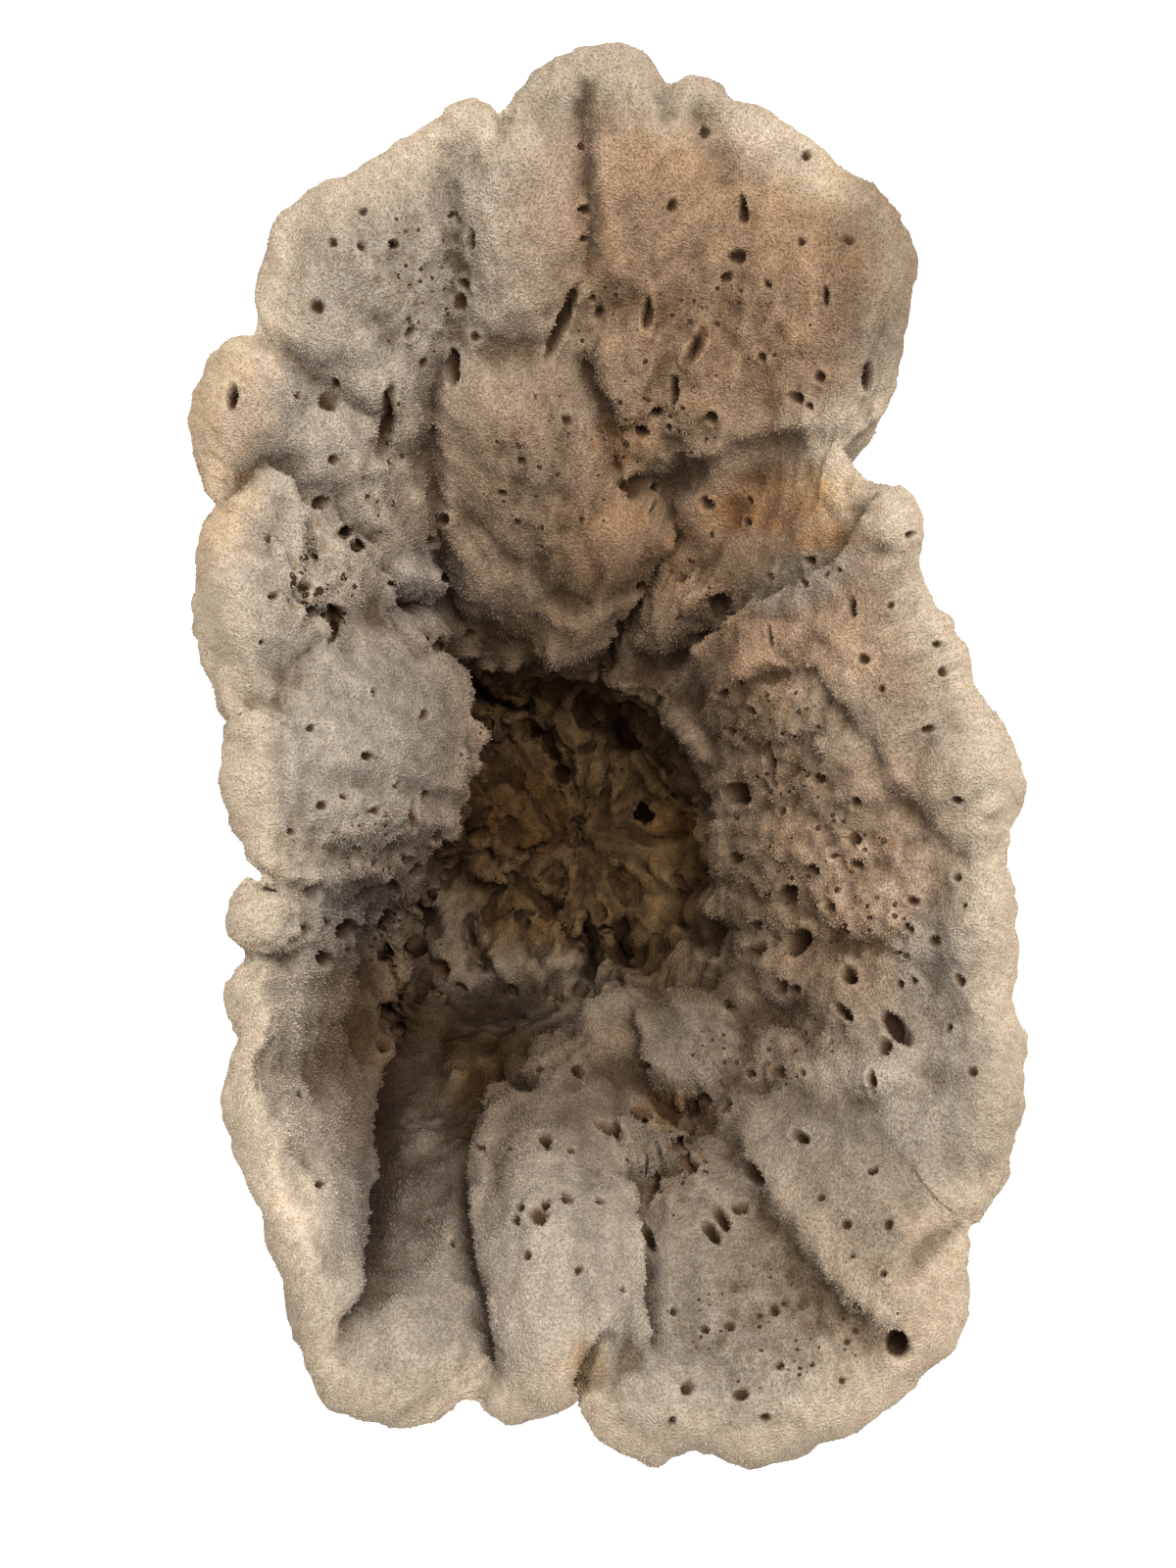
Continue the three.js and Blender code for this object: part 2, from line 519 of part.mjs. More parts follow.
// The closed skin of the sponge.
function makeSkin() {
  const places = [{ point: pointAt(...HOLLOW_CENTRE, FLOOR_HEIGHT), zone: "floor", share: 0 }];
  const rings = [[0]];
  for (const { zone, share, vertices } of RINGS) {
    rings.push(Array.from({ length: vertices }, (_, i) => places.length + i));
    for (let i = 0; i < vertices; i++) {
      places.push({ point: new Section(i / vertices)[zone](share), zone, share });
    }
  }
  const cut = places.slice(rings.at(-1)[0]);
  const cutSum = cut.reduce((sum, { point }) => sum.add(point), new THREE.Vector3());
  rings.push([places.length]);
  places.push({ point: cutSum.divideScalar(cut.length), zone: "outside", share: 1 });

  const geometry = new THREE.BufferGeometry().setFromPoints(places.map(({ point }) => point));
  geometry.setIndex(rings.slice(1).flatMap((ring, i) => stitch(rings[i], ring)));
  geometry.computeVertexNormals();
  const { position, normal } = geometry.attributes;
  const out = new THREE.Vector3();
  places.forEach(({ point, zone, share }, i) => {
    if (zone === "outside" && share === 1) return;
    point.addScaledVector(out.fromBufferAttribute(normal, i), liftAt(zone, share, point));
    position.setXYZ(i, ...point.toArray());
  });
  geometry.computeVertexNormals();
  return geometry;
}

// Where a line from the eye through the plan meets the skin, with the skin's normal there. A line past the
// rim meets nothing.
const sight = new THREE.Raycaster();
function meetSkin(skin, u, v) {
  sight.set(eye, pointAt(u, v, 0).sub(eye).normalize());
  return sight.intersectObject(skin)[0];
}

// A canal's tapered plug, sunk into the skin.
function makePlug(skin, [u, v, radius, depth]) {
  const { point, normal } = meetSkin(skin, u, v);
  const size = radius * UNIT;
  const plug = new THREE.CylinderGeometry(size * 1.15, size * 0.55, depth + STAND_OUT, 6);
  plug.translate(0, (STAND_OUT - depth) / 2, 0);
  plug.applyQuaternion(new THREE.Quaternion().setFromUnitVectors(new THREE.Vector3(0, 1, 0), normal));
  return plug.translate(...point.toArray());
}

// A blade with a V section that follows a slot's path over the skin. Its edge leans to the path's left,
// so that the left side overhangs.
function makeBlade(skin, { path, width, depth, lean }) {
  const curve = new THREE.CatmullRomCurve3(path.map(([u, v]) => new THREE.Vector3(u, v, 0)));
  const places = curve.getSpacedPoints(Math.max(3, Math.round(curve.getLength() / BLADE_STEP)));
  const stops = places.map(({ x, y }) => meetSkin(skin, x, y)).filter(Boolean);
  const steps = stops.length - 1;
  const corners = stops.flatMap(({ point, normal }, i) => {
    const [before, after] = [stops[Math.max(i - 1, 0)], stops[Math.min(i + 1, steps)]];
    const along = after.point.clone().sub(before.point).normalize();
    const left = normal.clone().cross(along).normalize();
    const size = 0.15 + 0.85 * endFade(i / steps);
    const mouth = point.clone().addScaledVector(normal, STAND_OUT).addScaledVector(left, -lean * STAND_OUT);
    const opening = (size * width * (1 + STAND_OUT / depth)) / 2;
    return [
      mouth.clone().addScaledVector(left, opening),
      mouth.clone().addScaledVector(left, -opening),
      point.clone().addScaledVector(normal, -size * depth).addScaledVector(left, lean * size * depth),
    ];
  });
  const faces = [0, 2, 1, 3 * steps, 3 * steps + 1, 3 * steps + 2];
  for (let i = 0; i < steps; i++) {
    for (const [a, b] of [[0, 1], [1, 2], [2, 0]]) {
      const [p, q] = [3 * i + a, 3 * i + b];
      faces.push(p, q, q + 3, p, q + 3, p + 3);
    }
  }
  const blade = new THREE.BufferGeometry().setFromPoints(corners);
  blade.setIndex(faces);
  return blade;
}

const wasm = await Module();
wasm.setup();

// A closed three.js geometry as a solid that can be cut.
function solidOf(geometry) {
  const plain = geometry.clone();
  plain.deleteAttribute("normal");
  plain.deleteAttribute("uv");
  const merged = mergeVertices(plain, 1e-4);
  return new wasm.Manifold(
    new wasm.Mesh({
      numProp: 3,
      vertProperties: new Float32Array(merged.attributes.position.array),
      triVerts: new Uint32Array(merged.index.array),
    }),
  );
}

// A cut solid back as a three.js geometry, over the origin in the middle of its plan.
function centredGeometryOf(solid) {
  const { vertProperties, triVerts } = solid.getMesh();
  const geometry = new THREE.BufferGeometry();
  geometry.setAttribute("position", new THREE.BufferAttribute(vertProperties, 3));
  geometry.setIndex(new THREE.BufferAttribute(triVerts, 1));
  geometry.computeBoundingBox();
  const middle = geometry.boundingBox.getCenter(new THREE.Vector3());
  geometry.translate(-middle.x, -middle.y, 0);
  geometry.computeVertexNormals();
  return geometry;
}

// The slots and the canals, cut out of the skin
function makeCutters(skin) {
  const blades = SLOTS.map((slot) => makeBlade(skin, slot));
  return [...blades, ...CANALS.map((canal) => makePlug(skin, canal))];
}

const skin = makeSkin();
const cutters = makeCutters(new THREE.Mesh(skin));
const body = cutters.reduce((solid, cutter) => solid.subtract(solidOf(cutter)), solidOf(skin));

const tissue = new THREE.MeshStandardMaterial({ color: 0xb09372, roughness: 0.95, metalness: 0 });
const sponge = new THREE.Mesh(centredGeometryOf(body), tissue);
sponge.name = "sponge";

const seaSponge = new THREE.Group();
seaSponge.add(sponge);

export default seaSponge;
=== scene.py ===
"""Dress a cup-shaped sea sponge: fine skin, canals, fibres, colours, floor, lights and camera.

The sponge's form is drawn in a plan, the view of an eye nearly straight above the mouth. Places in the
plan are u to the right and v down, in plan units. Heights and depths are in millimetres until the meshes
are made, which are in metres.
"""

import logging
import math
from dataclasses import dataclass, field
from enum import Enum

import bpy
import numpy as np
from mathutils import Euler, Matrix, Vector, noise

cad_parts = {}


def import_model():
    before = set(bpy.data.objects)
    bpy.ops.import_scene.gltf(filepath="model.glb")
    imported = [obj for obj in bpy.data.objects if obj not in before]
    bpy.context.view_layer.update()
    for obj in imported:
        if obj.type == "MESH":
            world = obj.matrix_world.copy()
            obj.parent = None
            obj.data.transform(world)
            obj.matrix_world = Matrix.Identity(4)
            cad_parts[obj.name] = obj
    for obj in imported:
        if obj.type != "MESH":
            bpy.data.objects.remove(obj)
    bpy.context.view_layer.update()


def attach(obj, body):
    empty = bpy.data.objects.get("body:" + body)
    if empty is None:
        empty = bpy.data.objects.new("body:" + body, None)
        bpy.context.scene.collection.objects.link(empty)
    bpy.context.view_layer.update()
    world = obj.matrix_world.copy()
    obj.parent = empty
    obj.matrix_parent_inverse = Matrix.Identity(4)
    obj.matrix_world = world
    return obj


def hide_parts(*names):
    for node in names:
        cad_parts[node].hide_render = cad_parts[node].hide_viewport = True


log = logging.getLogger("sponge")

MILLIMETRE = 0.001
NOISE_SEED = 5

# The drawing's scale, from the sponge's length in mm and in plan units
LENGTH = 230.0
PLAN_LENGTH = 1445.0
UNIT = LENGTH / PLAN_LENGTH

# The hollow's middle in the plan, and the floor, the wall and the foot in mm
HOLLOW_CENTRE = (590.0, 850.0)
FLOOR_HEIGHT = 17.0
FLOOR_DISH = 3.0
WALL = 12.5
FOOT_SPREAD = 11.0

# How much a notch in the rim lowers it, and how much it thins it from a shallow notch to a deep one, in mm
NOTCH_DIP = 0.22
NOTCH_THINNING = 0.7
NOTCH_REACH = (0.8, 2.8)

# Share of a crease or fold over which its ends fade, from a little past them
END_FADE = (-0.06, 0.12)

Pair = tuple[float, float]
Path = tuple[Pair, ...]
Colour = tuple[float, float, float]

# Rim as seen from above, clockwise from its far end, one point for each turn of the lobes
RIM: Path = (
    (618, 51), (648, 54), (665, 72), (683, 91), (700, 82), (728, 85), (752, 103), (786, 119),
    (830, 144), (868, 176), (899, 197), (921, 226), (933, 264), (930, 300), (920, 350), (914, 392),
    (902, 424), (880, 441), (856, 452), (862, 470), (886, 492), (918, 501), (940, 526), (940, 560),
    (949, 606), (966, 640), (984, 662), (996, 695), (1012, 728), (1036, 762), (1047, 797), (1040, 824),
    (1029, 850), (1033, 895), (1038, 940), (1036, 980), (1033, 1020), (1043, 1050), (1048, 1082),
    (1042, 1126), (1034, 1175), (1018, 1215), (998, 1241), (986, 1250), (988, 1280), (987, 1320),
    (974, 1372), (940, 1408), (888, 1449), (820, 1480), (755, 1495), (707, 1481), (672, 1491),
    (630, 1480), (604, 1455), (592, 1428), (586, 1416), (578, 1430), (553, 1445), (519, 1450),
    (478, 1430), (442, 1452), (395, 1456), (345, 1442), (312, 1400), (296, 1344), (280, 1290),
    (262, 1225), (240, 1170), (229, 1122), (236, 1083), (243, 1058), (231, 1028), (226, 1004),
    (247, 977), (236, 950), (237, 920), (252, 900), (264, 896), (254, 878), (238, 838), (227, 795),
    (228, 750), (234, 731), (220, 705), (205, 660), (197, 620), (199, 580), (209, 545), (220, 522),
    (206, 488), (196, 440), (199, 400), (215, 365), (240, 348), (260, 342), (259, 312), (268, 274),
    (287, 224), (323, 193), (372, 169), (417, 144), (452, 116), (482, 107), (509, 118), (524, 100),
    (541, 76), (575, 57),
)

# Edge where the wall drops into the hollow: u, v and height
HOLLOW_EDGE: tuple[tuple[float, float, float], ...] = (
    (520, 664, 44), (600, 688, 42), (670, 702, 46), (722, 735, 52), (736, 800, 56), (734, 865, 56),
    (742, 930, 52), (744, 980, 48), (690, 1004, 46), (630, 1020, 44), (575, 1050, 36), (510, 1068, 27),
    (445, 1062, 27), (404, 1020, 32), (404, 955, 42), (430, 895, 54), (455, 840, 60), (466, 780, 62),
    (462, 720, 60), (470, 675, 50),
)

# Round the hollow, counterclockwise from the right in degrees: angle, rim height, rim thickness, and how
# the wall rises to the crest, below 1 early and above 1 late
ROUND: tuple[tuple[float, float, float, float], ...] = (
    (0, 93, 11, 1.0), (30, 94, 10, 1.0), (52, 92, 9, 1.0), (62, 97, 9, 1.05), (90, 103, 9.5, 1.05),
    (120, 101, 10.5, 1.1), (143, 98, 11.5, 1.2), (165, 99, 13, 0.95), (185, 101, 13, 0.9),
    (200, 103, 12.5, 1.3), (225, 105, 12.5, 2.1), (245, 101, 11, 1.5), (262, 98, 10.5, 0.95),
    (285, 96, 10, 1.15), (310, 93, 10.5, 1.0), (335, 91, 11, 1.0),
)


@dataclass(frozen=True)
class Lump:
    """A rounded swelling, or a hollow where its rise in mm is below 0. Steep shapes its flank."""

    name: str
    at: Pair
    half: Pair
    turn: float
    rise: float
    steep: float


@dataclass(frozen=True)
class Crease:
    """A groove along a path, with its half width in plan units and its depth in mm."""

    name: str
    path: Path
    width: float
    depth: float


@dataclass(frozen=True)
class Fold:
    """A path whose left side, going along it, stands up over the right side.

    The left side rises by so many mm and comes down over the reach. The right side drops by so many mm over
    the gap. The step between them is as wide as soft, and over is how far the sides lap, in plan units.
    """

    name: str
    path: Path
    rise: float
    reach: float
    drop: float
    gap: float
    soft: float = 2.0
    over: float = 9.0


@dataclass(frozen=True)
class Canal:
    """An open canal: middle and half sizes in the plan, turn in degrees, depth and how dark the shade painted
    inside it is.
    """

    at: Pair
    half: Pair
    turn: float
    depth: float
    dark: float


@dataclass(frozen=True)
class Patch:
    """A soft-edged patch of a tint in the plan."""

    at: Pair
    half: Pair
    turn: float
    strength: float


LUMPS: tuple[Lump, ...] = (
    Lump("long tongue", (555, 520), (108, 165), -10, 9, 1),
    Lump("nose of the tongue", (645, 552), (42, 46), 0, 4, 0.7),
    Lump("root of the tongue", (600, 650), (56, 36), 10, 4, 0.7),
    Lump("slanting lump", (690, 626), (56, 30), -38, 5, 0.6),
    Lump("left bulge", (378, 752), (98, 120), 8, 6, 0.7),
    Lump("pitted block", (326, 578), (44, 74), -25, 4, 0.6),
    Lump("upper block", (398, 535), (48, 84), -18, 4, 0.7),
    Lump("low knob", (424, 588), (28, 24), 0, 3, 0.6),
    Lump("lower knob", (432, 640), (24, 30), 0, 3, 0.6),
    Lump("smooth left lobe", (258, 606), (60, 112), -8, 4, 0.8),
    Lump("second left lobe", (264, 806), (44, 92), 0, 2.5, 0.8),
    Lump("button lobe", (266, 936), (38, 36), 0, 3.5, 0.7),
    Lump("near tongue", (572, 1262), (88, 190), 0, 10, 0.8),
    Lump("side tongue", (664, 1168), (42, 26), -5, 5, 0.6),
    Lump("big knob", (698, 1066), (62, 58), 0, 6, 0.9),
    Lump("knob beside it", (622, 1050), (52, 34), -35, 5, 0.6),
    Lump("holed knob", (556, 1088), (46, 24), -22, 4, 0.6),
    Lump("right bulge", (845, 742), (132, 150), 0, 3, 1),
    Lump("right lobe", (988, 800), (56, 74), 0, 3, 0.9),
    Lump("long right lobe", (1000, 955), (42, 96), 0, 2.5, 0.9),
    Lump("low right lobe", (1002, 1110), (48, 84), 0, 2.5, 0.9),
    Lump("near right fold", (882, 1216), (126, 150), -20, 4, 0.8),
    Lump("pillow by the canals", (850, 1075), (96, 44), 5, 3, 0.7),
    Lump("flap", (838, 300), (96, 142), 0, 3, 0.9),
    Lump("far lobe", (664, 190), (64, 130), 0, 3, 0.8),
    Lump("far left lobe", (528, 235), (60, 122), 0, 3, 0.8),
    Lump("left corner lobe", (376, 272), (78, 108), 20, 3, 0.8),
    Lump("left top lobe", (256, 412), (58, 68), 0, 3, 0.8),
    Lump("end of the ridge", (914, 530), (36, 36), 0, 3, 0.7),
    Lump("pocket under the flap", (790, 508), (92, 46), -6, -2, 1),
    Lump("corner of the pocket", (688, 490), (40, 26), -20, -4, 0.9),
    Lump("grey hollow", (378, 936), (54, 42), 10, -5, 0.9),
    Lump("cavity under the knob", (690, 1140), (44, 26), 15, -4, 0.9),
    Lump("shallow brown hollow", (622, 322), (36, 42), 0, -2.5, 1),
    Lump("long trough", (420, 1180), (46, 150), 6, -4, 1),
    Lump("floor lump", (506, 728), (40, 32), 15, 4, 0.6),
    Lump("broad floor lump", (522, 846), (54, 62), 0, 4, 0.6),
    Lump("narrow floor lump", (572, 742), (26, 44), -35, 3.5, 0.6),
    Lump("far right floor lump", (684, 766), (42, 52), 0, 5, 0.6),
    Lump("middle floor lump", (604, 920), (42, 52), 0, 4.5, 0.6),
    Lump("near floor lump", (540, 968), (58, 44), 0, 4, 0.6),
    Lump("left floor lump", (448, 965), (32, 60), 0, 3.5, 0.6),
    Lump("right floor lump", (688, 936), (46, 52), 0, 4, 0.6),
    Lump("upper fold of the tongue", (512, 425), (50, 60), 0, 2.5, 0.9),
    Lump("lower fold of the tongue", (520, 612), (46, 32), 15, 2.5, 0.8),
    Lump("low part of the tongue", (560, 642), (46, 28), 10, 2.5, 0.8),
    Lump("left part of the tongue", (488, 585), (26, 50), -12, 2.5, 0.8),
    Lump("ridge of the upper wall", (640, 372), (34, 60), 0, 2.5, 0.7),
    Lump("second ridge of the wall", (720, 380), (40, 46), 20, 2, 0.7),
    Lump("left of the upper wall", (388, 395), (40, 70), -15, 3, 0.7),
    Lump("left shoulder", (345, 455), (50, 42), 25, 3, 0.7),
    Lump("top of the right wall", (780, 700), (74, 66), 0, 2.5, 0.7),
    Lump("tan hollow", (812, 690), (56, 48), -10, -2, 0.8),
    Lump("right pillow", (868, 792), (56, 50), 0, 2.5, 0.7),
    Lump("second right pillow", (804, 872), (56, 46), 20, 2.5, 0.7),
    Lump("third right pillow", (890, 905), (62, 56), -20, 3, 0.7),
    Lump("fourth right pillow", (768, 992), (60, 40), 10, 3, 0.7),
    Lump("fifth right pillow", (880, 1010), (70, 38), 5, 2.5, 0.7),
    Lump("left trough lump", (344, 1190), (34, 90), 0, 2, 0.8),
    Lump("near left fold", (440, 1340), (44, 100), 10, 2.5, 0.8),
    Lump("near right lobe", (920, 1340), (70, 60), -30, 2.5, 0.8),
    Lump("near edge lobe", (820, 1420), (80, 56), 10, 2.5, 0.8),
    Lump("second near edge lobe", (690, 1430), (60, 56), 0, 2.5, 0.8),
)

CREASES: tuple[Crease, ...] = (
    Crease("far crease", ((592, 84), (594, 120), (597, 180), (600, 240), (598, 284)), 8, 3.5),
    Crease("left far crease", ((455, 135), (460, 200), (470, 275), (460, 350), (450, 400)), 17, 2.2),
    Crease("right far crease", ((722, 110), (734, 160), (754, 225), (748, 300)), 14, 2),
    Crease("slit by the tongue", ((598, 365), (608, 400), (622, 440), (636, 490)), 9, 4),
    Crease("slant in the wall", ((740, 612), (706, 650), (680, 690)), 10, 4),
    Crease("gap at the nose", ((676, 566), (650, 610), (628, 640), (620, 684)), 11, 5),
    Crease("left notch", ((262, 343), (300, 370), (345, 400), (392, 440)), 12, 2.5),
    Crease("button notch", ((256, 900), (290, 902), (330, 915)), 9, 3),
    Crease("second button notch", ((236, 978), (270, 975), (300, 985)), 8, 3),
    Crease("near notch", ((486, 1440), (500, 1400), (504, 1350)), 8, 3),
    Crease("torn notch", ((994, 1244), (960, 1266), (930, 1290)), 9, 2.5),
    Crease("far notch", ((512, 112), (510, 150)), 9, 2),
    Crease("second far notch", ((682, 86), (688, 125)), 9, 2),
    Crease("near edge of the floor", ((748, 1000), (700, 992), (640, 996), (575, 1060), (512, 1092)), 9, 4),
    Crease("floor crack", ((592, 688), (604, 735), (640, 762), (660, 756)), 8, 5),
    Crease("long floor crack", ((548, 745), (566, 775), (580, 800)), 7, 5),
    Crease("left floor crack", ((478, 700), (500, 715), (545, 722)), 5, 4),
    Crease("near floor crack", ((566, 880), (560, 925), (600, 985), (592, 1010)), 7, 4),
    Crease("right floor crack", ((632, 880), (636, 920), (640, 975)), 7, 5),
    Crease("foot of the left wall", ((476, 932), (492, 975), (500, 990)), 6, 5),
    Crease("dark corner of the floor", ((462, 655), (470, 688), (500, 714), (546, 722)), 6, 5),
    Crease("step in the left of the floor", ((485, 735), (500, 754), (522, 757)), 5, 4),
    Crease("main floor crack", ((535, 748), (560, 750), (568, 768), (580, 800)), 7, 6),
    Crease("void beside the tongue", ((606, 688), (616, 708), (632, 742), (648, 764)), 9, 6),
    Crease("round the right floor lump", ((652, 741), (654, 764), (670, 790), (686, 812)), 5, 4),
    Crease("slit in the floor", ((592, 836), (588, 858)), 5, 6),
    Crease("second slit in the floor", ((659, 826), (658, 842)), 5, 6),
    Crease("crack beside the near lump", ((599, 934), (601, 970), (604, 1002)), 6, 6),
    Crease("short crack", ((628, 948), (635, 974)), 5, 5),
    Crease("web of the left foot", ((440, 855), (446, 885), (436, 915), (442, 950)), 7, 4),
)

FOLDS: tuple[Fold, ...] = (
    Fold("left rim", (
        (352, 1352), (366, 1310), (368, 1268), (375, 1219), (377, 1165), (389, 1102), (400, 1043),
        (412, 1000), (428, 950), (440, 905)), 2.5, 50, 6, 28, 3),
    Fold("left bulge", (
        (434, 884), (450, 838), (466, 790), (468, 742), (460, 702), (428, 662), (404, 612)), 2.5, 50, 5, 16),
    Fold("flap over the pocket", (
        (700, 474), (722, 464), (750, 450), (800, 441), (836, 441)), 2.5, 70, 1.2, 20, 5, 3),
    Fold("right ridge", (
        (906, 486), (884, 528), (852, 568), (819, 592), (765, 620), (733, 647), (700, 684)),
        3.0, 60, 2.2, 24, 5, 6),
    Fold("near right fold", (
        (732, 1132), (765, 1185), (795, 1235), (828, 1290), (860, 1328), (890, 1352), (935, 1372)),
        3.0, 60, 2.6, 26, 7, 5),
    Fold("near tongue right", ((662, 1376), (652, 1320), (645, 1260), (638, 1204)), 2, 50, 5, 16),
    Fold("near tongue left", (
        (556, 1106), (514, 1126), (498, 1175), (488, 1230), (487, 1290), (500, 1335), (508, 1400)),
        2, 50, 4, 12),
    Fold("second left lobe", (
        (356, 676), (336, 656), (300, 628), (296, 600), (304, 560), (308, 524), (296, 492), (274, 474),
        (248, 494), (224, 516)), 2.5, 40, 4, 14, 3, 5),
    Fold("crack of the block", ((396, 628), (388, 612), (372, 572), (352, 540)), 1.5, 30, 6, 10),
    Fold("long tongue left", ((470, 366), (450, 400), (446, 470), (450, 540), (462, 590), (482, 645)),
        1.5, 40, 4, 20, 4),
    Fold("long tongue right", ((616, 690), (626, 642), (646, 612), (670, 585), (686, 548), (674, 520)),
        1.5, 40, 5, 15),
    Fold("big knob", ((652, 1036), (650, 1075), (662, 1104), (695, 1122), (728, 1114), (748, 1090)),
        1.5, 40, 3.5, 14, 3, 6),
    Fold("side tongue", ((634, 1200), (660, 1197), (692, 1182)), 1.5, 30, 4, 12, 3, 5),
    Fold("arch of the right wall", ((744, 726), (752, 697), (791, 685), (840, 680), (860, 708), (886, 738)),
        1.2, 30, 2.2, 15, 6, 2),
    Fold("smooth right lobe", (
        (880, 742), (898, 762), (914, 800), (942, 832), (968, 856)), 1.8, 40, 2.2, 16, 6, 2),
    Fold("hook", ((590, 1432), (587, 1400), (592, 1380), (606, 1368), (624, 1370)), 1.5, 20, 5, 9, 2.5, 4),
    Fold("low knob", ((404, 612), (440, 618), (458, 600)), 1.5, 24, 3, 10),
    Fold("lower knob", ((412, 664), (440, 672), (462, 660)), 1.5, 24, 3, 10),
    Fold("nose", ((690, 560), (668, 596), (640, 606), (606, 600)), 1.5, 30, 3, 12),
    Fold("holed knob", ((512, 1112), (560, 1116), (606, 1096)), 1.5, 30, 3, 12),
)

# Shallow canals that open on the wall and the floor: middle and radius in the plan
SHALLOW_CANALS: tuple[tuple[float, float, float], ...] = (
    (371, 216, 4), (340, 248, 5), (370, 252, 4), (419, 339, 6), (431, 370, 5), (322, 313, 7),
    (335, 410, 9), (342, 391, 4), (342, 471, 5), (470, 308, 8), (475, 290, 6), (596, 215, 5),
    (595, 245, 4), (592, 150, 4), (532, 470, 4), (551, 477, 3), (545, 405, 3), (306, 404, 4),
    (578, 430, 5), (485, 345, 5), (460, 220, 3), (752, 263, 7), (742, 283, 5), (785, 290, 4),
    (720, 135, 5), (823, 158, 4), (687, 210, 5), (683, 435, 4), (725, 427, 6), (687, 412, 3),
    (778, 367, 5), (838, 385, 6), (812, 407, 6), (826, 415, 4), (818, 248, 4), (605, 305, 4),
    (612, 320, 5), (866, 245, 5), (512, 503, 4), (327, 514, 7), (274, 551, 4), (318, 567, 5),
    (309, 598, 7), (315, 625, 6), (280, 608, 4), (268, 656, 3), (383, 706, 4), (435, 729, 5),
    (316, 743, 4), (374, 772, 5), (403, 801, 4), (328, 823, 5), (350, 814, 4), (383, 828, 4),
    (298, 849, 4), (363, 866, 4), (381, 882, 4), (435, 811, 4), (440, 553, 5), (453, 531, 6),
    (528, 533, 4), (594, 531, 3), (454, 590, 5), (479, 647, 5), (495, 688, 5), (506, 688, 6),
    (401, 596, 4), (554, 780, 6), (520, 756, 5), (544, 754, 5), (607, 735, 4), (591, 844, 5),
    (499, 871, 5), (529, 871, 6), (551, 864, 6), (414, 876, 5), (445, 855, 5), (650, 497, 11),
    (722, 515, 7), (767, 511, 4), (763, 533, 4), (826, 572, 5), (820, 595, 4), (855, 581, 3),
    (843, 585, 3), (788, 588, 4), (705, 573, 3), (735, 618, 10), (909, 618, 4), (956, 657, 4),
    (881, 673, 5), (961, 686, 5), (738, 709, 5), (757, 697, 3), (784, 711, 3), (767, 726, 4),
    (745, 747, 4), (835, 794, 6), (783, 808, 4), (874, 819, 5), (798, 829, 4), (751, 836, 3),
    (873, 857, 6), (852, 873, 4), (750, 876, 6), (828, 887, 6), (874, 882, 5), (899, 704, 4),
    (945, 744, 5), (977, 817, 5), (726, 547, 3), (930, 545, 4), (716, 823, 5), (455, 891, 4),
    (333, 941, 4), (311, 951, 7), (356, 970, 4), (471, 1008, 5), (446, 1016, 4), (543, 933, 4),
    (551, 894, 3), (565, 1027, 4), (550, 1093, 4), (416, 1146, 4), (519, 1174, 3), (531, 1231, 5),
    (527, 1244, 5), (550, 1238, 10), (612, 1226, 4), (306, 1119, 4), (326, 1208, 5), (436, 1246, 3),
    (465, 1268, 3), (592, 1297, 4), (583, 1173, 4), (538, 1280, 4), (636, 1315, 3), (977, 895, 4),
    (846, 925, 7), (931, 920, 6), (985, 924, 3), (863, 950, 5), (926, 948, 5), (773, 945, 5),
    (769, 970, 9), (952, 961, 6), (918, 973, 3), (926, 976, 3), (920, 1006, 4), (934, 1002, 4),
    (980, 1001, 5), (797, 1008, 7), (811, 1011, 5), (902, 1068, 8), (969, 1049, 4), (658, 1087, 5),
    (794, 1093, 7), (769, 1096, 5), (819, 1094, 3), (992, 1093, 5), (741, 1129, 6), (836, 1221, 4),
    (864, 1249, 5), (908, 1249, 5), (754, 1232, 7), (871, 1281, 3), (902, 1301, 4), (688, 1340, 4),
    (720, 1356, 4), (746, 1352, 5), (791, 1336, 6), (701, 1416, 7), (756, 1422, 7), (781, 1447, 5),
    (685, 1450, 4), (795, 1394, 4), (859, 1409, 4),
)

# Deep canals: middle and radius in the plan
DEEP_CANALS: tuple[tuple[float, float, float], ...] = (
    (402, 249, 5), (668, 421, 6), (654, 441, 6), (353, 543, 6), (366, 556, 6), (341, 631, 10),
    (447, 658, 6), (457, 862, 6), (637, 495, 6), (669, 497, 5), (664, 514, 5), (697, 590, 5),
    (654, 600, 4), (753, 812, 11), (659, 833, 8), (399, 903, 6), (426, 923, 6), (440, 914, 6),
    (423, 888, 6), (391, 941, 10), (353, 948, 9), (331, 979, 7), (395, 970, 9), (401, 984, 5),
    (424, 967, 11), (449, 990, 9), (398, 1033, 10), (407, 1052, 6), (392, 1067, 6), (505, 903, 5),
    (520, 892, 6), (530, 934, 5), (618, 948, 5), (590, 1011, 8), (523, 1010, 5), (590, 1093, 6),
    (490, 1171, 4), (556, 1161, 6), (558, 1172, 4), (558, 1226, 5), (579, 1222, 6), (805, 914, 9),
    (814, 961, 12), (867, 994, 8), (741, 1027, 4), (653, 1136, 8), (707, 1133, 8), (719, 1123, 6),
    (704, 1151, 6), (695, 1170, 8), (702, 1189, 8), (890, 1194, 5), (915, 1372, 11),
)

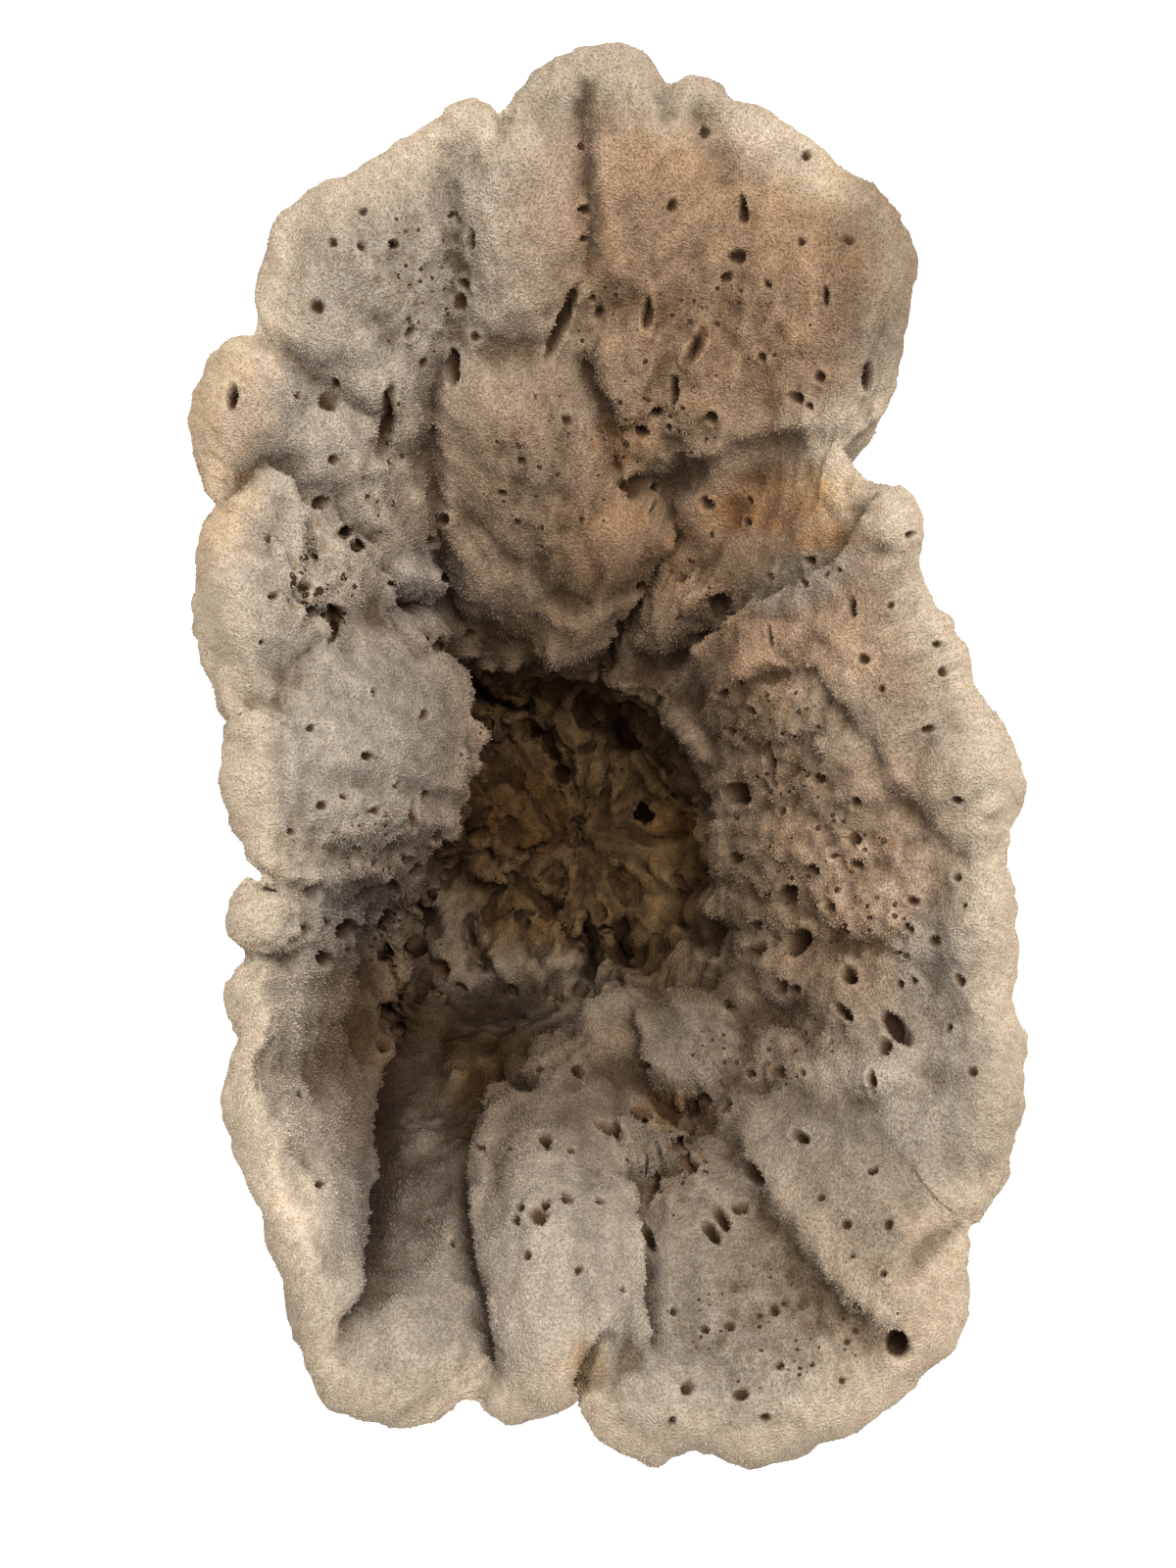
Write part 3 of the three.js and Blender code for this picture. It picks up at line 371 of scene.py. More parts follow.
# Slit-shaped canals: one end, other end and half width
SLITS: tuple[tuple[float, float, float, float, float], ...] = (
    (237, 398, 237, 414, 5), (398, 402, 392, 456, 7), (480, 240, 480, 252, 4), (462, 365, 462, 386, 6),
    (584, 302, 561, 358, 7), (758, 206, 758, 224, 4), (716, 342, 704, 366, 6), (660, 312, 660, 332, 5),
    (688, 390, 688, 408, 4), (885, 376, 885, 394, 5), (842, 296, 842, 310, 3), (422, 824, 422, 840, 5),
    (632, 638, 632, 652, 4), (870, 615, 870, 627, 4), (787, 644, 787, 656, 3), (785, 765, 790, 796, 5),
    (613, 1147, 633, 1159, 6), (855, 1027, 865, 1037, 5), (906, 1042, 923, 1058, 8),
    (890, 1098, 890, 1110, 4), (812, 1158, 820, 1163, 5), (671, 1200, 662, 1224, 5),
    (657, 1253, 664, 1271, 5), (731, 1235, 740, 1251, 5), (721, 1251, 731, 1264, 5),
    (764, 1191, 774, 1204, 6), (341, 640, 338, 650, 5),
)

# Patches with many small pores
PITTED_PATCHES: tuple[Patch, ...] = (
    Patch((325, 590), (60, 80), 0, 1.2),
    Patch((400, 470), (60, 110), 0, 1.0),
    Patch((380, 860), (80, 60), 0, 1.0),
    Patch((410, 980), (60, 90), 0, 1.4),
    Patch((650, 440), (110, 60), 0, 1.1),
    Patch((560, 480), (90, 110), 0, 0.9),
    Patch((700, 330), (190, 90), 0, 0.9),
    Patch((430, 280), (90, 120), 0, 0.9),
    Patch((850, 900), (130, 110), 0, 1.2),
    Patch((800, 760), (90, 90), 0, 1.1),
    Patch((780, 1070), (130, 60), 0, 1.0),
    Patch((560, 900), (120, 90), 0, 1.3),
    Patch((520, 780), (70, 100), 0, 1.3),
    Patch((690, 1180), (70, 90), 0, 1.1),
    Patch((800, 1350), (160, 100), 0, 0.9),
    Patch((700, 620), (90, 60), 0, 1.0),
)

# Patches of warm tan
WARM_PATCHES: tuple[Patch, ...] = (
    Patch((770, 250), (330, 330), 10, 1.0),
    Patch((560, 470), (180, 200), 0, 0.6),
    Patch((820, 620), (240, 240), 0, 0.8),
    Patch((850, 860), (200, 260), 0, 0.6),
)

# Patches of grey-violet
GREY_PATCHES: tuple[Patch, ...] = (
    Patch((382, 745), (110, 130), 8, 0.5),
    Patch((310, 775), (36, 50), 0, 0.9),
    Patch((372, 935), (56, 44), 10, 0.8),
    Patch((450, 960), (60, 90), 0, 0.3),
    Patch((540, 1010), (150, 60), 0, 0.35),
    Patch((820, 592), (90, 36), -20, 0.7),
    Patch((430, 600), (50, 60), 0, 0.6),
    Patch((420, 1180), (60, 150), 6, 0.5),
    Patch((850, 730), (80, 60), 0, 0.35),
    Patch((700, 1066), (60, 56), 0, 0.3),
    Patch((950, 980), (50, 75), 0, 0.7),
)

# Patches of amber
AMBER_PATCHES: tuple[Patch, ...] = (
    Patch((530, 830), (70, 60), 0, 0.9),
    Patch((690, 1135), (56, 30), 15, 1.0),
    Patch((900, 240), (70, 170), -20, 0.4),
    Patch((225, 460), (70, 160), 10, 0.5),
    Patch((640, 560), (100, 90), 0, 0.6),
    Patch((560, 640), (100, 40), 0, 0.4),
    Patch((860, 1290), (160, 160), 0, 0.35),
    Patch((790, 510), (110, 50), -8, 0.9),
    Patch((840, 545), (50, 26), -8, 0.7),
    Patch((636, 455), (60, 40), -20, 0.6),
    Patch((690, 840), (40, 30), 0, 0.6),
    Patch((600, 1395), (28, 40), 0, 0.8),
)

# Patches painted darker than their depth makes them: painted shade in troughs, cavities and sides turned from
# the lamps, partly the tissue's own darker tone
PAINTED_SHADE_AND_DARK_TONE_PATCHES: tuple[Patch, ...] = (
    Patch((770, 1320), (150, 110), -20, 0.35),
    Patch((384, 1200), (30, 150), 6, 0.9),
    Patch((900, 280), (80, 170), 0, 0.9),
    Patch((640, 80), (260, 70), 0, 0.45),
    Patch((1010, 1130), (50, 120), 0, 0.4),
    Patch((750, 1470), (190, 50), 0, 0.3),
    Patch((300, 1360), (60, 110), -10, 0.25),
    Patch((370, 250), (110, 140), 20, 0.2),
    Patch((690, 330), (170, 90), 0, 0.2),
    Patch((680, 240), (80, 70), 0, 0.3),
    Patch((560, 1120), (80, 50), 0, 0.35),
    Patch((690, 1150), (56, 36), 0, 0.8),
    Patch((590, 900), (120, 160), 0, 0.25),
    Patch((700, 1066), (60, 56), 0, 0.3),
    Patch((450, 1330), (60, 70), 0, 0.4),
    Patch((880, 1210), (110, 100), -20, 0.35),
    Patch((560, 480), (120, 160), -10, 0.25),
    Patch((380, 1425), (100, 50), 0, 0.3),
    Patch((604, 1396), (22, 34), 0, 0.9),
    Patch((378, 940), (60, 50), 10, 0.6),
    Patch((480, 1045), (130, 60), 0, 1.1),
    Patch((530, 830), (70, 80), 0, 0.8),
)

# Patches painted lighter than their depth makes them: painted light on sides the lamps leave in shade, such
# as the floor's right side, partly the tissue's own lighter tone, as on the cream near-left rim
PAINTED_LIGHT_AND_PALE_TONE_PATCHES: tuple[Patch, ...] = (
    Patch((825, 665), (110, 60), 0, 0.7),
    Patch((860, 920), (110, 100), 0, 0.5),
    Patch((860, 1090), (110, 50), 0, 0.4),
    Patch((330, 590), (60, 70), 0, 0.3),
    Patch((400, 520), (60, 90), 0, 0.3),
    Patch((380, 750), (90, 120), 0, 0.2),
    Patch((780, 830), (90, 120), 0, 0.3),
    Patch((790, 520), (110, 50), 0, 0.4),
    Patch((690, 880), (60, 90), 0, 1.4),
    Patch((690, 1140), (50, 30), 0, 0.3),
    Patch((380, 940), (60, 50), 0, 0.9),
    Patch((510, 730), (60, 40), 0, 0.6),
    Patch((830, 500), (60, 40), 0, 0.5),
    Patch((425, 1190), (50, 90), 0, 0.4),
    Patch((318, 1150), (52, 170), 4, 0.9),
    Patch((330, 1040), (60, 80), 0, 0.9),
    Patch((500, 730), (50, 40), 0, 0.3),
    Patch((600, 960), (70, 50), 0, 0.4),
)

# The masks of the skin that come from patches, by their names on the mesh
MASKS: dict[str, tuple[Patch, ...]] = {
    "warm": WARM_PATCHES, "grey": GREY_PATCHES, "amber": AMBER_PATCHES, "dim": PAINTED_SHADE_AND_DARK_TONE_PATCHES,
    "painted_light_and_pale_tone": PAINTED_LIGHT_AND_PALE_TONE_PATCHES, "pitted": PITTED_PATCHES,
}


class Zone(Enum):
    """The zones of the skin, from the floor's middle over the rim to the cut."""

    FLOOR = "floor"
    DROP = "drop"
    WALL = "wall"
    LIP = "lip"
    OUTSIDE = "outside"


@dataclass(frozen=True)
class RingBand:
    """The rings of vertices that cover one zone, with the first and the last ring's number of vertices."""

    zone: Zone
    rings: int
    first: int
    last: int


def blend(a: np.ndarray, b: np.ndarray, share: np.ndarray) -> np.ndarray:
    """Return the value at a share of the way from a to b."""
    return a + (b - a) * share


def smooth(value: np.ndarray, low: float, high: float) -> np.ndarray:
    """Return 0 below low, 1 above high and an S curve between them."""
    share = np.clip((value - low) / (high - low), 0.0, 1.0)
    return share * share * (3.0 - 2.0 * share)


def angle_between(a: np.ndarray, b: np.ndarray) -> np.ndarray:
    """Return the turn in degrees from b to a, from -180 to 180."""
    return (np.asarray(a) - b + 180.0) % 360.0 - 180.0


def unit_rows(vectors: np.ndarray) -> np.ndarray:
    """Return each row at length 1."""
    return vectors / np.linalg.norm(vectors, axis=-1, keepdims=True)


def curve_through(points: np.ndarray, share: np.ndarray, closed: bool) -> np.ndarray:
    """Give places on a centripetal Catmull-Rom curve.

    Args:
        points: The points that the curve passes, with the point's number as the first axis. Any further
            axes but the last are separate curves, one for each share.
        share: How far along the curve each place is, from 0 to 1.
        closed: Whether the curve runs back to its first point.

    Returns:
        One row for each share.
    """
    count = len(points)
    if closed:
        ring = np.concatenate([points[-1:], points, points[:2]])
        place = share * count
    else:
        ring = np.concatenate([2 * points[:1] - points[1:2], points, 2 * points[-1:] - points[-2:-1]])
        place = share * (count - 1)
    start = np.minimum(place.astype(int), (count if closed else count - 1) - 1)
    weight = (place - start)[:, None]
    if points.ndim == 3:
        columns = np.arange(len(share))
        p0, p1, p2, p3 = (ring[start + k, columns] for k in range(4))
    else:
        p0, p1, p2, p3 = (ring[start + k] for k in range(4))
    pairs = ((p0, p1), (p1, p2), (p2, p3))
    d0, d1, d2 = (np.linalg.norm(b - a, axis=-1, keepdims=True) ** 0.5 for a, b in pairs)
    slope1 = ((p1 - p0) / d0 - (p2 - p0) / (d0 + d1) + (p2 - p1) / d1) * d1
    slope2 = ((p2 - p1) / d1 - (p3 - p1) / (d1 + d2) + (p3 - p2) / d2) * d1
    cubic = 2 * (p1 - p2) + slope1 + slope2
    square = 3 * (p2 - p1) - 2 * slope1 - slope2
    return p1 + weight * (slope1 + weight * (square + weight * cubic))


@dataclass(frozen=True)
class Plan:
    """The drawing, as an eye nearly straight above the mouth sees the sponge."""

    centre: Pair = (600.0, 800.0)
    height: float = 95.0
    distance: float = 420.0
    elevation: float = math.radians(82.0)

    @property
    def forward(self) -> np.ndarray:
        """Return the way the eye looks."""
        return np.array([0.0, math.cos(self.elevation), -math.sin(self.elevation)])

    @property
    def upward(self) -> np.ndarray:
        """Return the way that is up in the drawing."""
        return np.array([0.0, math.sin(self.elevation), math.cos(self.elevation)])

    @property
    def eye(self) -> np.ndarray:
        """Return the eye's place in mm."""
        return np.array([0.0, 0.0, self.height]) - self.forward * self.distance

    def point_at(self, u: np.ndarray, v: np.ndarray, z: np.ndarray) -> np.ndarray:
        """Find what is seen at places of the plan.

        Args:
            u: Places to the right.
            v: Places down.
            z: Height of each point in mm.

        Returns:
            The points in mm, one row each.
        """
        u, v, z = (np.asarray(value, dtype=float)[..., None] for value in np.broadcast_arrays(u, v, z))
        ray = self.forward * (self.distance / UNIT) + np.array([1.0, 0.0, 0.0]) * (u - self.centre[0])
        ray = ray + self.upward * (self.centre[1] - v)
        return self.eye + ray * (z - self.eye[2]) / ray[..., 2:]

    def seen_at(self, points: np.ndarray) -> tuple[np.ndarray, np.ndarray]:
        """Find where points are seen in the plan.

        Args:
            points: Points in mm, one row each.

        Returns:
            Their places to the right and down.
        """
        sight = points - self.eye
        scale = self.distance / UNIT / (sight @ self.forward)
        return self.centre[0] + sight[..., 0] * scale, self.centre[1] - (sight @ self.upward) * scale


PLAN = Plan()


def angle_of(u: np.ndarray, v: np.ndarray) -> np.ndarray:
    """Return the angle of a place round the hollow's middle, in degrees."""
    return np.degrees(np.arctan2(HOLLOW_CENTRE[1] - v, u - HOLLOW_CENTRE[0]))


def around(column: int, angle: np.ndarray) -> np.ndarray:
    """Give a property of ROUND at angles, joined smoothly between its entries.

    Args:
        column: Which value of the entries to give.
        angle: Angles in degrees.

    Returns:
        The value at each angle.
    """
    table = np.array(ROUND + ((360.0, *ROUND[0][1:]),))
    full = angle % 360.0
    start = np.searchsorted(table[:, 0], full, side="right") - 1
    share = smooth((full - table[start, 0]) / (table[start + 1, 0] - table[start, 0]), 0, 1)
    return blend(table[start, column], table[start + 1, column], share)


class RimStations:
    """What the sections need to know at each listed point of the rim."""

    near = 3
    far = 7
    edge_steps = 720

    def __init__(self) -> None:
        """Even the rim out, and measure its notches and the ways into the sponge."""
        self.rim = np.array(RIM, dtype=float)
        own = np.hypot(*(self.rim - HOLLOW_CENTRE).T)
        angle = angle_of(*self.rim.T)
        along = self.mean_over(self.near, np.roll(self.rim, -1, axis=0) - np.roll(self.rim, 1, axis=0))
        self.even = self.mean_over(self.near, self.rim)
        self.inward = unit_rows(np.stack([-along[:, 1], along[:, 0]], axis=1))
        self.notch = (self.mean_over(self.near, own) - own) * UNIT
        turns = [angle_between(np.roll(angle, -k), angle) for k in range(-self.far, self.far + 1)]
        self.angle = angle + np.mean(turns, axis=0)
        edge = np.array(HOLLOW_EDGE)
        self.edge = curve_through(edge, np.arange(self.edge_steps) / self.edge_steps, closed=True)
        self.edge_angle = angle_of(self.edge[:, 0], self.edge[:, 1])

    @staticmethod
    def mean_over(reach: int, values: np.ndarray) -> np.ndarray:
        """Return each value averaged with its neighbours to a reach on both sides."""
        return np.mean([np.roll(values, -k, axis=0) for k in range(-reach, reach + 1)], axis=0)

    def edge_at(self, angle: np.ndarray) -> np.ndarray:
        """Return the points of the hollow's edge at angles, as u, v and height."""
        miss = np.abs(angle_between(self.edge_angle[None, :], angle[:, None]))
        return self.edge[np.argmin(miss, axis=1)]


class Sections:
    """Cuts through the wall from the floor's middle over the rim to the foot, at places round the rim.

    The floor takes up the rest of the way to the hollow's edge beside the drop. Half way up and low on the
    outside, the wall's points lie out and down by shares of its thickness, and low by a share of the edge's
    height.
    """

    drop_share = 0.2
    drop_change = 0.04
    half_out = 0.8
    half_down = 0.95
    low_out = 1.15
    low_height = 0.68

    def __init__(self, stations: RimStations, turns: np.ndarray) -> None:
        """Work out the sections' sizes.

        Args:
            stations: The rim.
            turns: Share of the way round the rim of each section, from 0 to 1.
        """
        place = turns * len(RIM)
        start = place.astype(int) % len(RIM)
        after = (start + 1) % len(RIM)
        share = place % 1
        rim = curve_through(stations.rim, turns, closed=True)
        angle = stations.angle[start] + share * angle_between(stations.angle[after], stations.angle[start])
        inward = unit_rows(blend(stations.inward[start], stations.inward[after], share[:, None]))
        self.even = blend(stations.even[start], stations.even[after], share[:, None])
        notch = blend(stations.notch[start], stations.notch[after], share)
        self.lip_size = around(2, angle) * (1 - NOTCH_THINNING * smooth(notch, *NOTCH_REACH))
        self.late = around(3, angle)
        self.edge = stations.edge_at(angle)
        self.even_top = around(1, angle)
        top = self.even_top - NOTCH_DIP * notch
        self.side = PLAN.point_at(rim[:, 0], rim[:, 1], top - self.lip_size / 2)
        self.into = np.stack([inward[:, 0], -inward[:, 1], np.zeros(len(turns))], axis=1)
        self.lip_middle = self.side + self.into * self.lip_size[:, None] / 2
        self.crest = self.lip_middle + np.outer(self.lip_size / 2, (0, 0, 1))
        gentle = self.drop_share + self.drop_change * np.cos(np.radians(angle))
        self.foot = blend(self.edge[:, :2], np.array(HOLLOW_CENTRE), gentle[:, None])
        self.outside_points = self.lay_outside()

    def floor(self, share: float) -> np.ndarray:
        """Return the points of the floor at a share of the way from its middle."""
        place = blend(np.array(HOLLOW_CENTRE), self.foot, share)
        return PLAN.point_at(place[:, 0], place[:, 1], FLOOR_HEIGHT + FLOOR_DISH * share**2)

    def drop(self, share: float) -> np.ndarray:
        """Return the points at a share of the way from the floor to the hollow's edge."""
        climb = math.sin(share * math.pi / 2)
        place = blend(self.foot, self.edge[:, :2], share)
        height = blend(FLOOR_HEIGHT + FLOOR_DISH, self.edge[:, 2], climb)
        return PLAN.point_at(place[:, 0], place[:, 1], height)

    def wall(self, share: float) -> np.ndarray:
        """Return the wall's points at a share of the way up, where the rim's lobes fade in."""
        crest = np.stack(PLAN.seen_at(self.crest), axis=1)
        place = blend(self.edge[:, :2], self.even, share) + share**4 * (crest - self.even)
        climb = math.sin(share * math.pi / 2) ** self.late
        height = blend(self.edge[:, 2], self.even_top, climb) + share**4 * (self.crest[:, 2] - self.even_top)
        return PLAN.point_at(place[:, 0], place[:, 1], height)

    def lip(self, share: float) -> np.ndarray:
        """Return the points of the rounded lip at a share of the way over it."""
        turn = share * math.pi / 2
        half = self.lip_size[:, None] / 2
        raised = half * math.cos(turn) * np.array([0, 0, 1.0])
        return self.lip_middle - self.into * half * math.sin(turn) + raised

    def outside(self, share: float) -> np.ndarray:
        """Return the points of the outside at a share of the way down to the cut."""
        return curve_through(self.outside_points, np.full(len(self.side), share), closed=False)

    def lay_outside(self) -> np.ndarray:
        """Return four points for each section, which keep the wall's thickness and end at the foot."""
        edge = PLAN.point_at(self.edge[:, 0], self.edge[:, 1], self.edge[:, 2])
        out = unit_rows((self.side - edge) * (1, 1, 0))
        half = self.wall(0.5) + out * WALL * self.half_out - (0, 0, WALL * self.half_down)
        low = (edge + out * WALL * self.low_out) * (1, 1, 0)
        low += np.outer(self.edge[:, 2] * self.low_height, (0, 0, 1))
        foot = (edge + out * FOOT_SPREAD) * (1, 1, 0)
        return np.stack([self.side, half, low, foot])


def along_path(path: Path, u: np.ndarray, v: np.ndarray) -> tuple[np.ndarray, ...]:
    """Measure places against a path.

    Args:
        path: The path's points in the plan.
        u: Places to the right.
        v: Places down.

    Returns:
        Distance to the path, the side of it (1 on the left going along it, -1 on the right), how far
        along it each place is, from 0 to 1, and the way from the path to the place as unit rows.
    """
    best = np.full(u.shape, np.inf)
    side = np.zeros(u.shape)
    along = np.zeros(u.shape)
    away = np.zeros((len(u), 2))
    for number, ((au, av), (bu, bv)) in enumerate(zip(path, path[1:])):
        du, dv = bu - au, bv - av
        share = np.clip(((u - au) * du + (v - av) * dv) / (du * du + dv * dv), 0, 1)
        distance = np.hypot(u - au - share * du, v - av - share * dv)
        closer = distance < best
        best = np.where(closer, distance, best)
        side = np.where(closer, np.sign((u - au) * dv - (v - av) * du), side)
        along = np.where(closer, (number + share) / (len(path) - 1), along)
        away[closer] = np.stack([u - au - share * du, v - av - share * dv], axis=1)[closer]
    return best, side, along, away / np.maximum(best, 0.001)[:, None]


def end_fade(along: np.ndarray) -> np.ndarray:
    """Return how much of a crease or fold is left towards its ends."""
    return smooth(np.minimum(along, 1 - along), *END_FADE)


def across_oval(at: Pair, half: Pair, turn: float, u: np.ndarray, v: np.ndarray) -> np.ndarray:
    """Measure places against a turned oval.

    Args:
        at: The oval's middle.
        half: Its half sizes.
        turn: Its turn in degrees.
        u: Places to the right.
        v: Places down.

    Returns:
        0 at the middle, 1 on the oval and more outside it.
    """
    cos, sin = math.cos(math.radians(turn)), math.sin(math.radians(turn))
    du, dv = u - at[0], v - at[1]
    return np.hypot((du * cos + dv * sin) / half[0], (dv * cos - du * sin) / half[1])


@dataclass
class Relief:
    """Lumps, hollows, creases and folds of the inside, over its plain shape, with its limits in mm."""

    highest: float = 11.0
    deepest: float = 7.5
    lap_reach: float = 11.0

    def height(self, u: np.ndarray, v: np.ndarray) -> np.ndarray:
        """Give the height of the relief.

        Args:
            u: Places to the right.
            v: Places down.

        Returns:
            How far the skin stands out at each place, in mm.
        """
        height = np.zeros(u.shape)
        for lump in LUMPS:
            across = across_oval(lump.at, lump.half, lump.turn, u, v)
            height += lump.rise * np.maximum(0, 1 - across**2) ** lump.steep
        for crease in CREASES:
            distance, _, along, _ = along_path(crease.path, u, v)
            height -= crease.depth * end_fade(along) * np.exp(-((distance / crease.width) ** 2))
        for fold in FOLDS:
            distance, side, along, _ = along_path(fold.path, u, v)
            raised = fold.rise * np.exp(-distance / fold.reach)
            sunk = -fold.drop * np.exp(-((distance / fold.gap) ** 2))
            share = 0.5 + 0.5 * np.tanh(side * distance / fold.soft)
            height += end_fade(along) * blend(sunk, raised, share)
        return np.clip(height, -self.deepest, self.highest)

    def lap(self, u: np.ndarray, v: np.ndarray) -> np.ndarray:
        """Return how far the folds' raised sides lap over and their sunk sides run under, in the plan."""
        step = np.zeros((len(u), 2))
        for fold in FOLDS:
            distance, _, along, away = along_path(fold.path, u, v)
            size = fold.over * end_fade(along) * np.tanh(distance / fold.soft)
            step -= away * (size * np.exp(-((distance / self.lap_reach) ** 2)))[:, None]
        return step

    def near_steps(self, u: np.ndarray, v: np.ndarray, reach: float) -> np.ndarray:
        """Return whether each place is within a reach of a fold or a crease."""
        close = np.zeros(u.shape, dtype=bool)
        for line in CREASES + FOLDS:
            close |= along_path(line.path, u, v)[0] < reach
        return close


@dataclass
class Canals:
    """The open canals of the inside.

    A canal's depth goes with a power of its radius in mm. Its funnel, its raised collar and its part painted
    with shade end at multiples of the listed radius. The collar's height and the finest edges of the mesh are
    in mm.
    """

    shallow: float = 1.6
    shallow_painted_shade: float = 0.75
    deep: float = 2.4
    deep_painted_shade: float = 1.0
    slit_painted_shade: float = 0.85
    slit_deeper: float = 0.6
    depth_power: float = 0.8
    wobble: float = 0.2
    seed: int = 11
    funnel_end: float = 1.25
    funnel_steep: float = 1.2
    collar: float = 0.3
    collar_at: float = 1.5
    collar_width: float = 0.35
    painted_shade_range: Pair = (0.4, 1.4)
    facets: float = 0.5
    finest: float = 0.36
    refined_end: float = 1.45
    ovals: list[Canal] = field(default_factory=list)

    def __post_init__(self) -> None:
        """Turn the listed canals into ovals, with seeded small differences in shape."""
        drawn = np.random.default_rng(self.seed)
        kinds = (
            (self.shallow, self.shallow_painted_shade, SHALLOW_CANALS),
            (self.deep, self.deep_painted_shade, DEEP_CANALS),
        )
        for steep, dark, canals in kinds:
            for u, v, radius in canals:
                squeeze = 1 + drawn.uniform(-self.wobble, self.wobble)
                half = (radius * squeeze, radius / squeeze)
                depth = steep * (radius * UNIT) ** self.depth_power
                self.ovals.append(Canal((u, v), half, drawn.uniform(0, 180), depth, dark))
        for au, av, bu, bv, width in SLITS:
            half = (math.dist((au, av), (bu, bv)) / 2 + width, width)
            turn = math.degrees(math.atan2(bv - av, bu - au))
            depth = self.deep * (width * UNIT) ** self.depth_power + self.slit_deeper
            self.ovals.append(Canal(((au + bu) / 2, (av + bv) / 2), half, turn, depth, self.slit_painted_shade))

    @staticmethod
    def places_near(canal: Canal, reach: float, u: np.ndarray, v: np.ndarray) -> np.ndarray:
        """Return the numbers of the places within a reach of a canal's middle, across and down."""
        return np.flatnonzero((np.abs(u - canal.at[0]) < reach) & (np.abs(v - canal.at[1]) < reach))

    def sink(self, u: np.ndarray, v: np.ndarray) -> tuple[np.ndarray, np.ndarray]:
        """Sink the canals.

        Args:
            u: Places to the right.
            v: Places down.

        Returns:
            How far the skin stands out, mostly below 0, in mm, and how far into a canal each place is, times
            how dark the canal's painted shade is, from 0 to 1.
        """
        sunk = np.zeros(u.shape)
        hole = np.zeros(u.shape)
        for canal in self.ovals:
            near = self.places_near(canal, max(canal.half) * 2, u, v)
            across = across_oval(canal.at, canal.half, canal.turn, u[near], v[near])
            funnel = -canal.depth * np.maximum(0, 1 - (across / self.funnel_end) ** 2) ** self.funnel_steep
            lifted = self.collar * np.exp(-(((across - self.collar_at) / self.collar_width) ** 2))
            sunk[near] = np.minimum(sunk[near], funnel) + np.where(sunk[near] < 0, 0, lifted)
            hole[near] = np.maximum(hole[near], canal.dark * (1 - smooth(across, *self.painted_shade_range)))
        return sunk, hole

    def wanted_size(self, u: np.ndarray, v: np.ndarray) -> np.ndarray:
        """Return how long an edge of the mesh may be at each place, in mm, so that it shows the canals."""
        wanted = np.full(u.shape, np.inf)
        for canal in self.ovals:
            near = self.places_near(canal, max(canal.half) * 1.5 + 3, u, v)
            across = across_oval(canal.at, canal.half, canal.turn, u[near], v[near])
            size = max(self.finest, self.facets * min(canal.half) * UNIT)
            finer = np.minimum(wanted[near], size)
            wanted[near] = np.where(across < self.refined_end, finer, wanted[near])
        return wanted


def evened(mesh: bpy.types.Mesh, rows: np.ndarray, rounds: int) -> np.ndarray:
    """Even out vectors over a mesh.

    Args:
        mesh: The mesh.
        rows: One vector for each of its vertices.
        rounds: How many times each is averaged with those of its neighbours.

    Returns:
        The evened vectors.
    """
    count = len(mesh.vertices)
    ends = np.empty(len(mesh.edges) * 2, dtype=np.int32)
    mesh.edges.foreach_get("vertices", ends)
    first, second = ends.reshape(-1, 2).T
    shared = np.bincount(ends, minlength=count)
    for _ in range(rounds):
        sums = [
            np.bincount(first, rows[second, axis], count) + np.bincount(second, rows[first, axis], count)
            for axis in range(3)
        ]
        rows = 0.5 * rows + 0.5 * np.stack(sums, axis=1) / shared[:, None]
    return rows


def grooves(mesh: bpy.types.Mesh, rounds: int) -> np.ndarray:
    """Find the grooves of a mesh.

    Args:
        mesh: The mesh.
        rounds: How many times the surroundings are evened out.

    Returns:
        How far each vertex lies below its surroundings, in the mesh's units. It is below 0 on ridges.
    """
    points = read_vectors(mesh.vertices, "co", len(mesh.vertices))
    out = read_vectors(mesh.vertex_normals, "vector", len(mesh.vertices))
    return np.sum((evened(mesh, points, rounds) - points) * out, axis=1)


def stitch(inner: np.ndarray, outer: np.ndarray) -> list[tuple[int, int, int]]:
    """Give the triangles between two rings.

    Args:
        inner: Vertex numbers of the inner ring, or of one point.
        outer: Vertex numbers of the ring outside it, or of one point.

    Returns:
        Triangles with their front outwards.
    """
    faces = []
    i, o = (0 if len(inner) > 1 else 1), (0 if len(outer) > 1 else 1)
    while i < len(inner) or o < len(outer):
        outer_is_behind = (o + 1) * len(inner) <= (i + 1) * len(outer)
        a, b = int(inner[i % len(inner)]), int(outer[o % len(outer)])
        if i >= len(inner) or (o < len(outer) and outer_is_behind):
            o += 1
            faces.append((a, int(outer[o % len(outer)]), b))
        else:
            i += 1
            faces.append((a, int(inner[i % len(inner)]), b))
    return faces


def read_vectors(collection: bpy.types.bpy_prop_collection, name: str, count: int) -> np.ndarray:
    """Return a vector property of a mesh's elements as rows."""
    values = np.empty(count * 3, dtype=np.float32)
    collection.foreach_get(name, values)
    return values.reshape(-1, 3).astype(float)


def write_values(mesh: bpy.types.Mesh, name: str, values: np.ndarray) -> None:
    """Store one number for each vertex under a name."""
    layer = mesh.attributes.get(name) or mesh.attributes.new(name, "FLOAT", "POINT")
    layer.data.foreach_set("value", np.asarray(values, dtype=np.float32))


def read_values(mesh: bpy.types.Mesh, name: str) -> np.ndarray:
    """Return the numbers stored for the vertices under a name."""
    values = np.empty(len(mesh.vertices), dtype=np.float32)
    mesh.attributes[name].data.foreach_get("value", values)
    return values.astype(float)


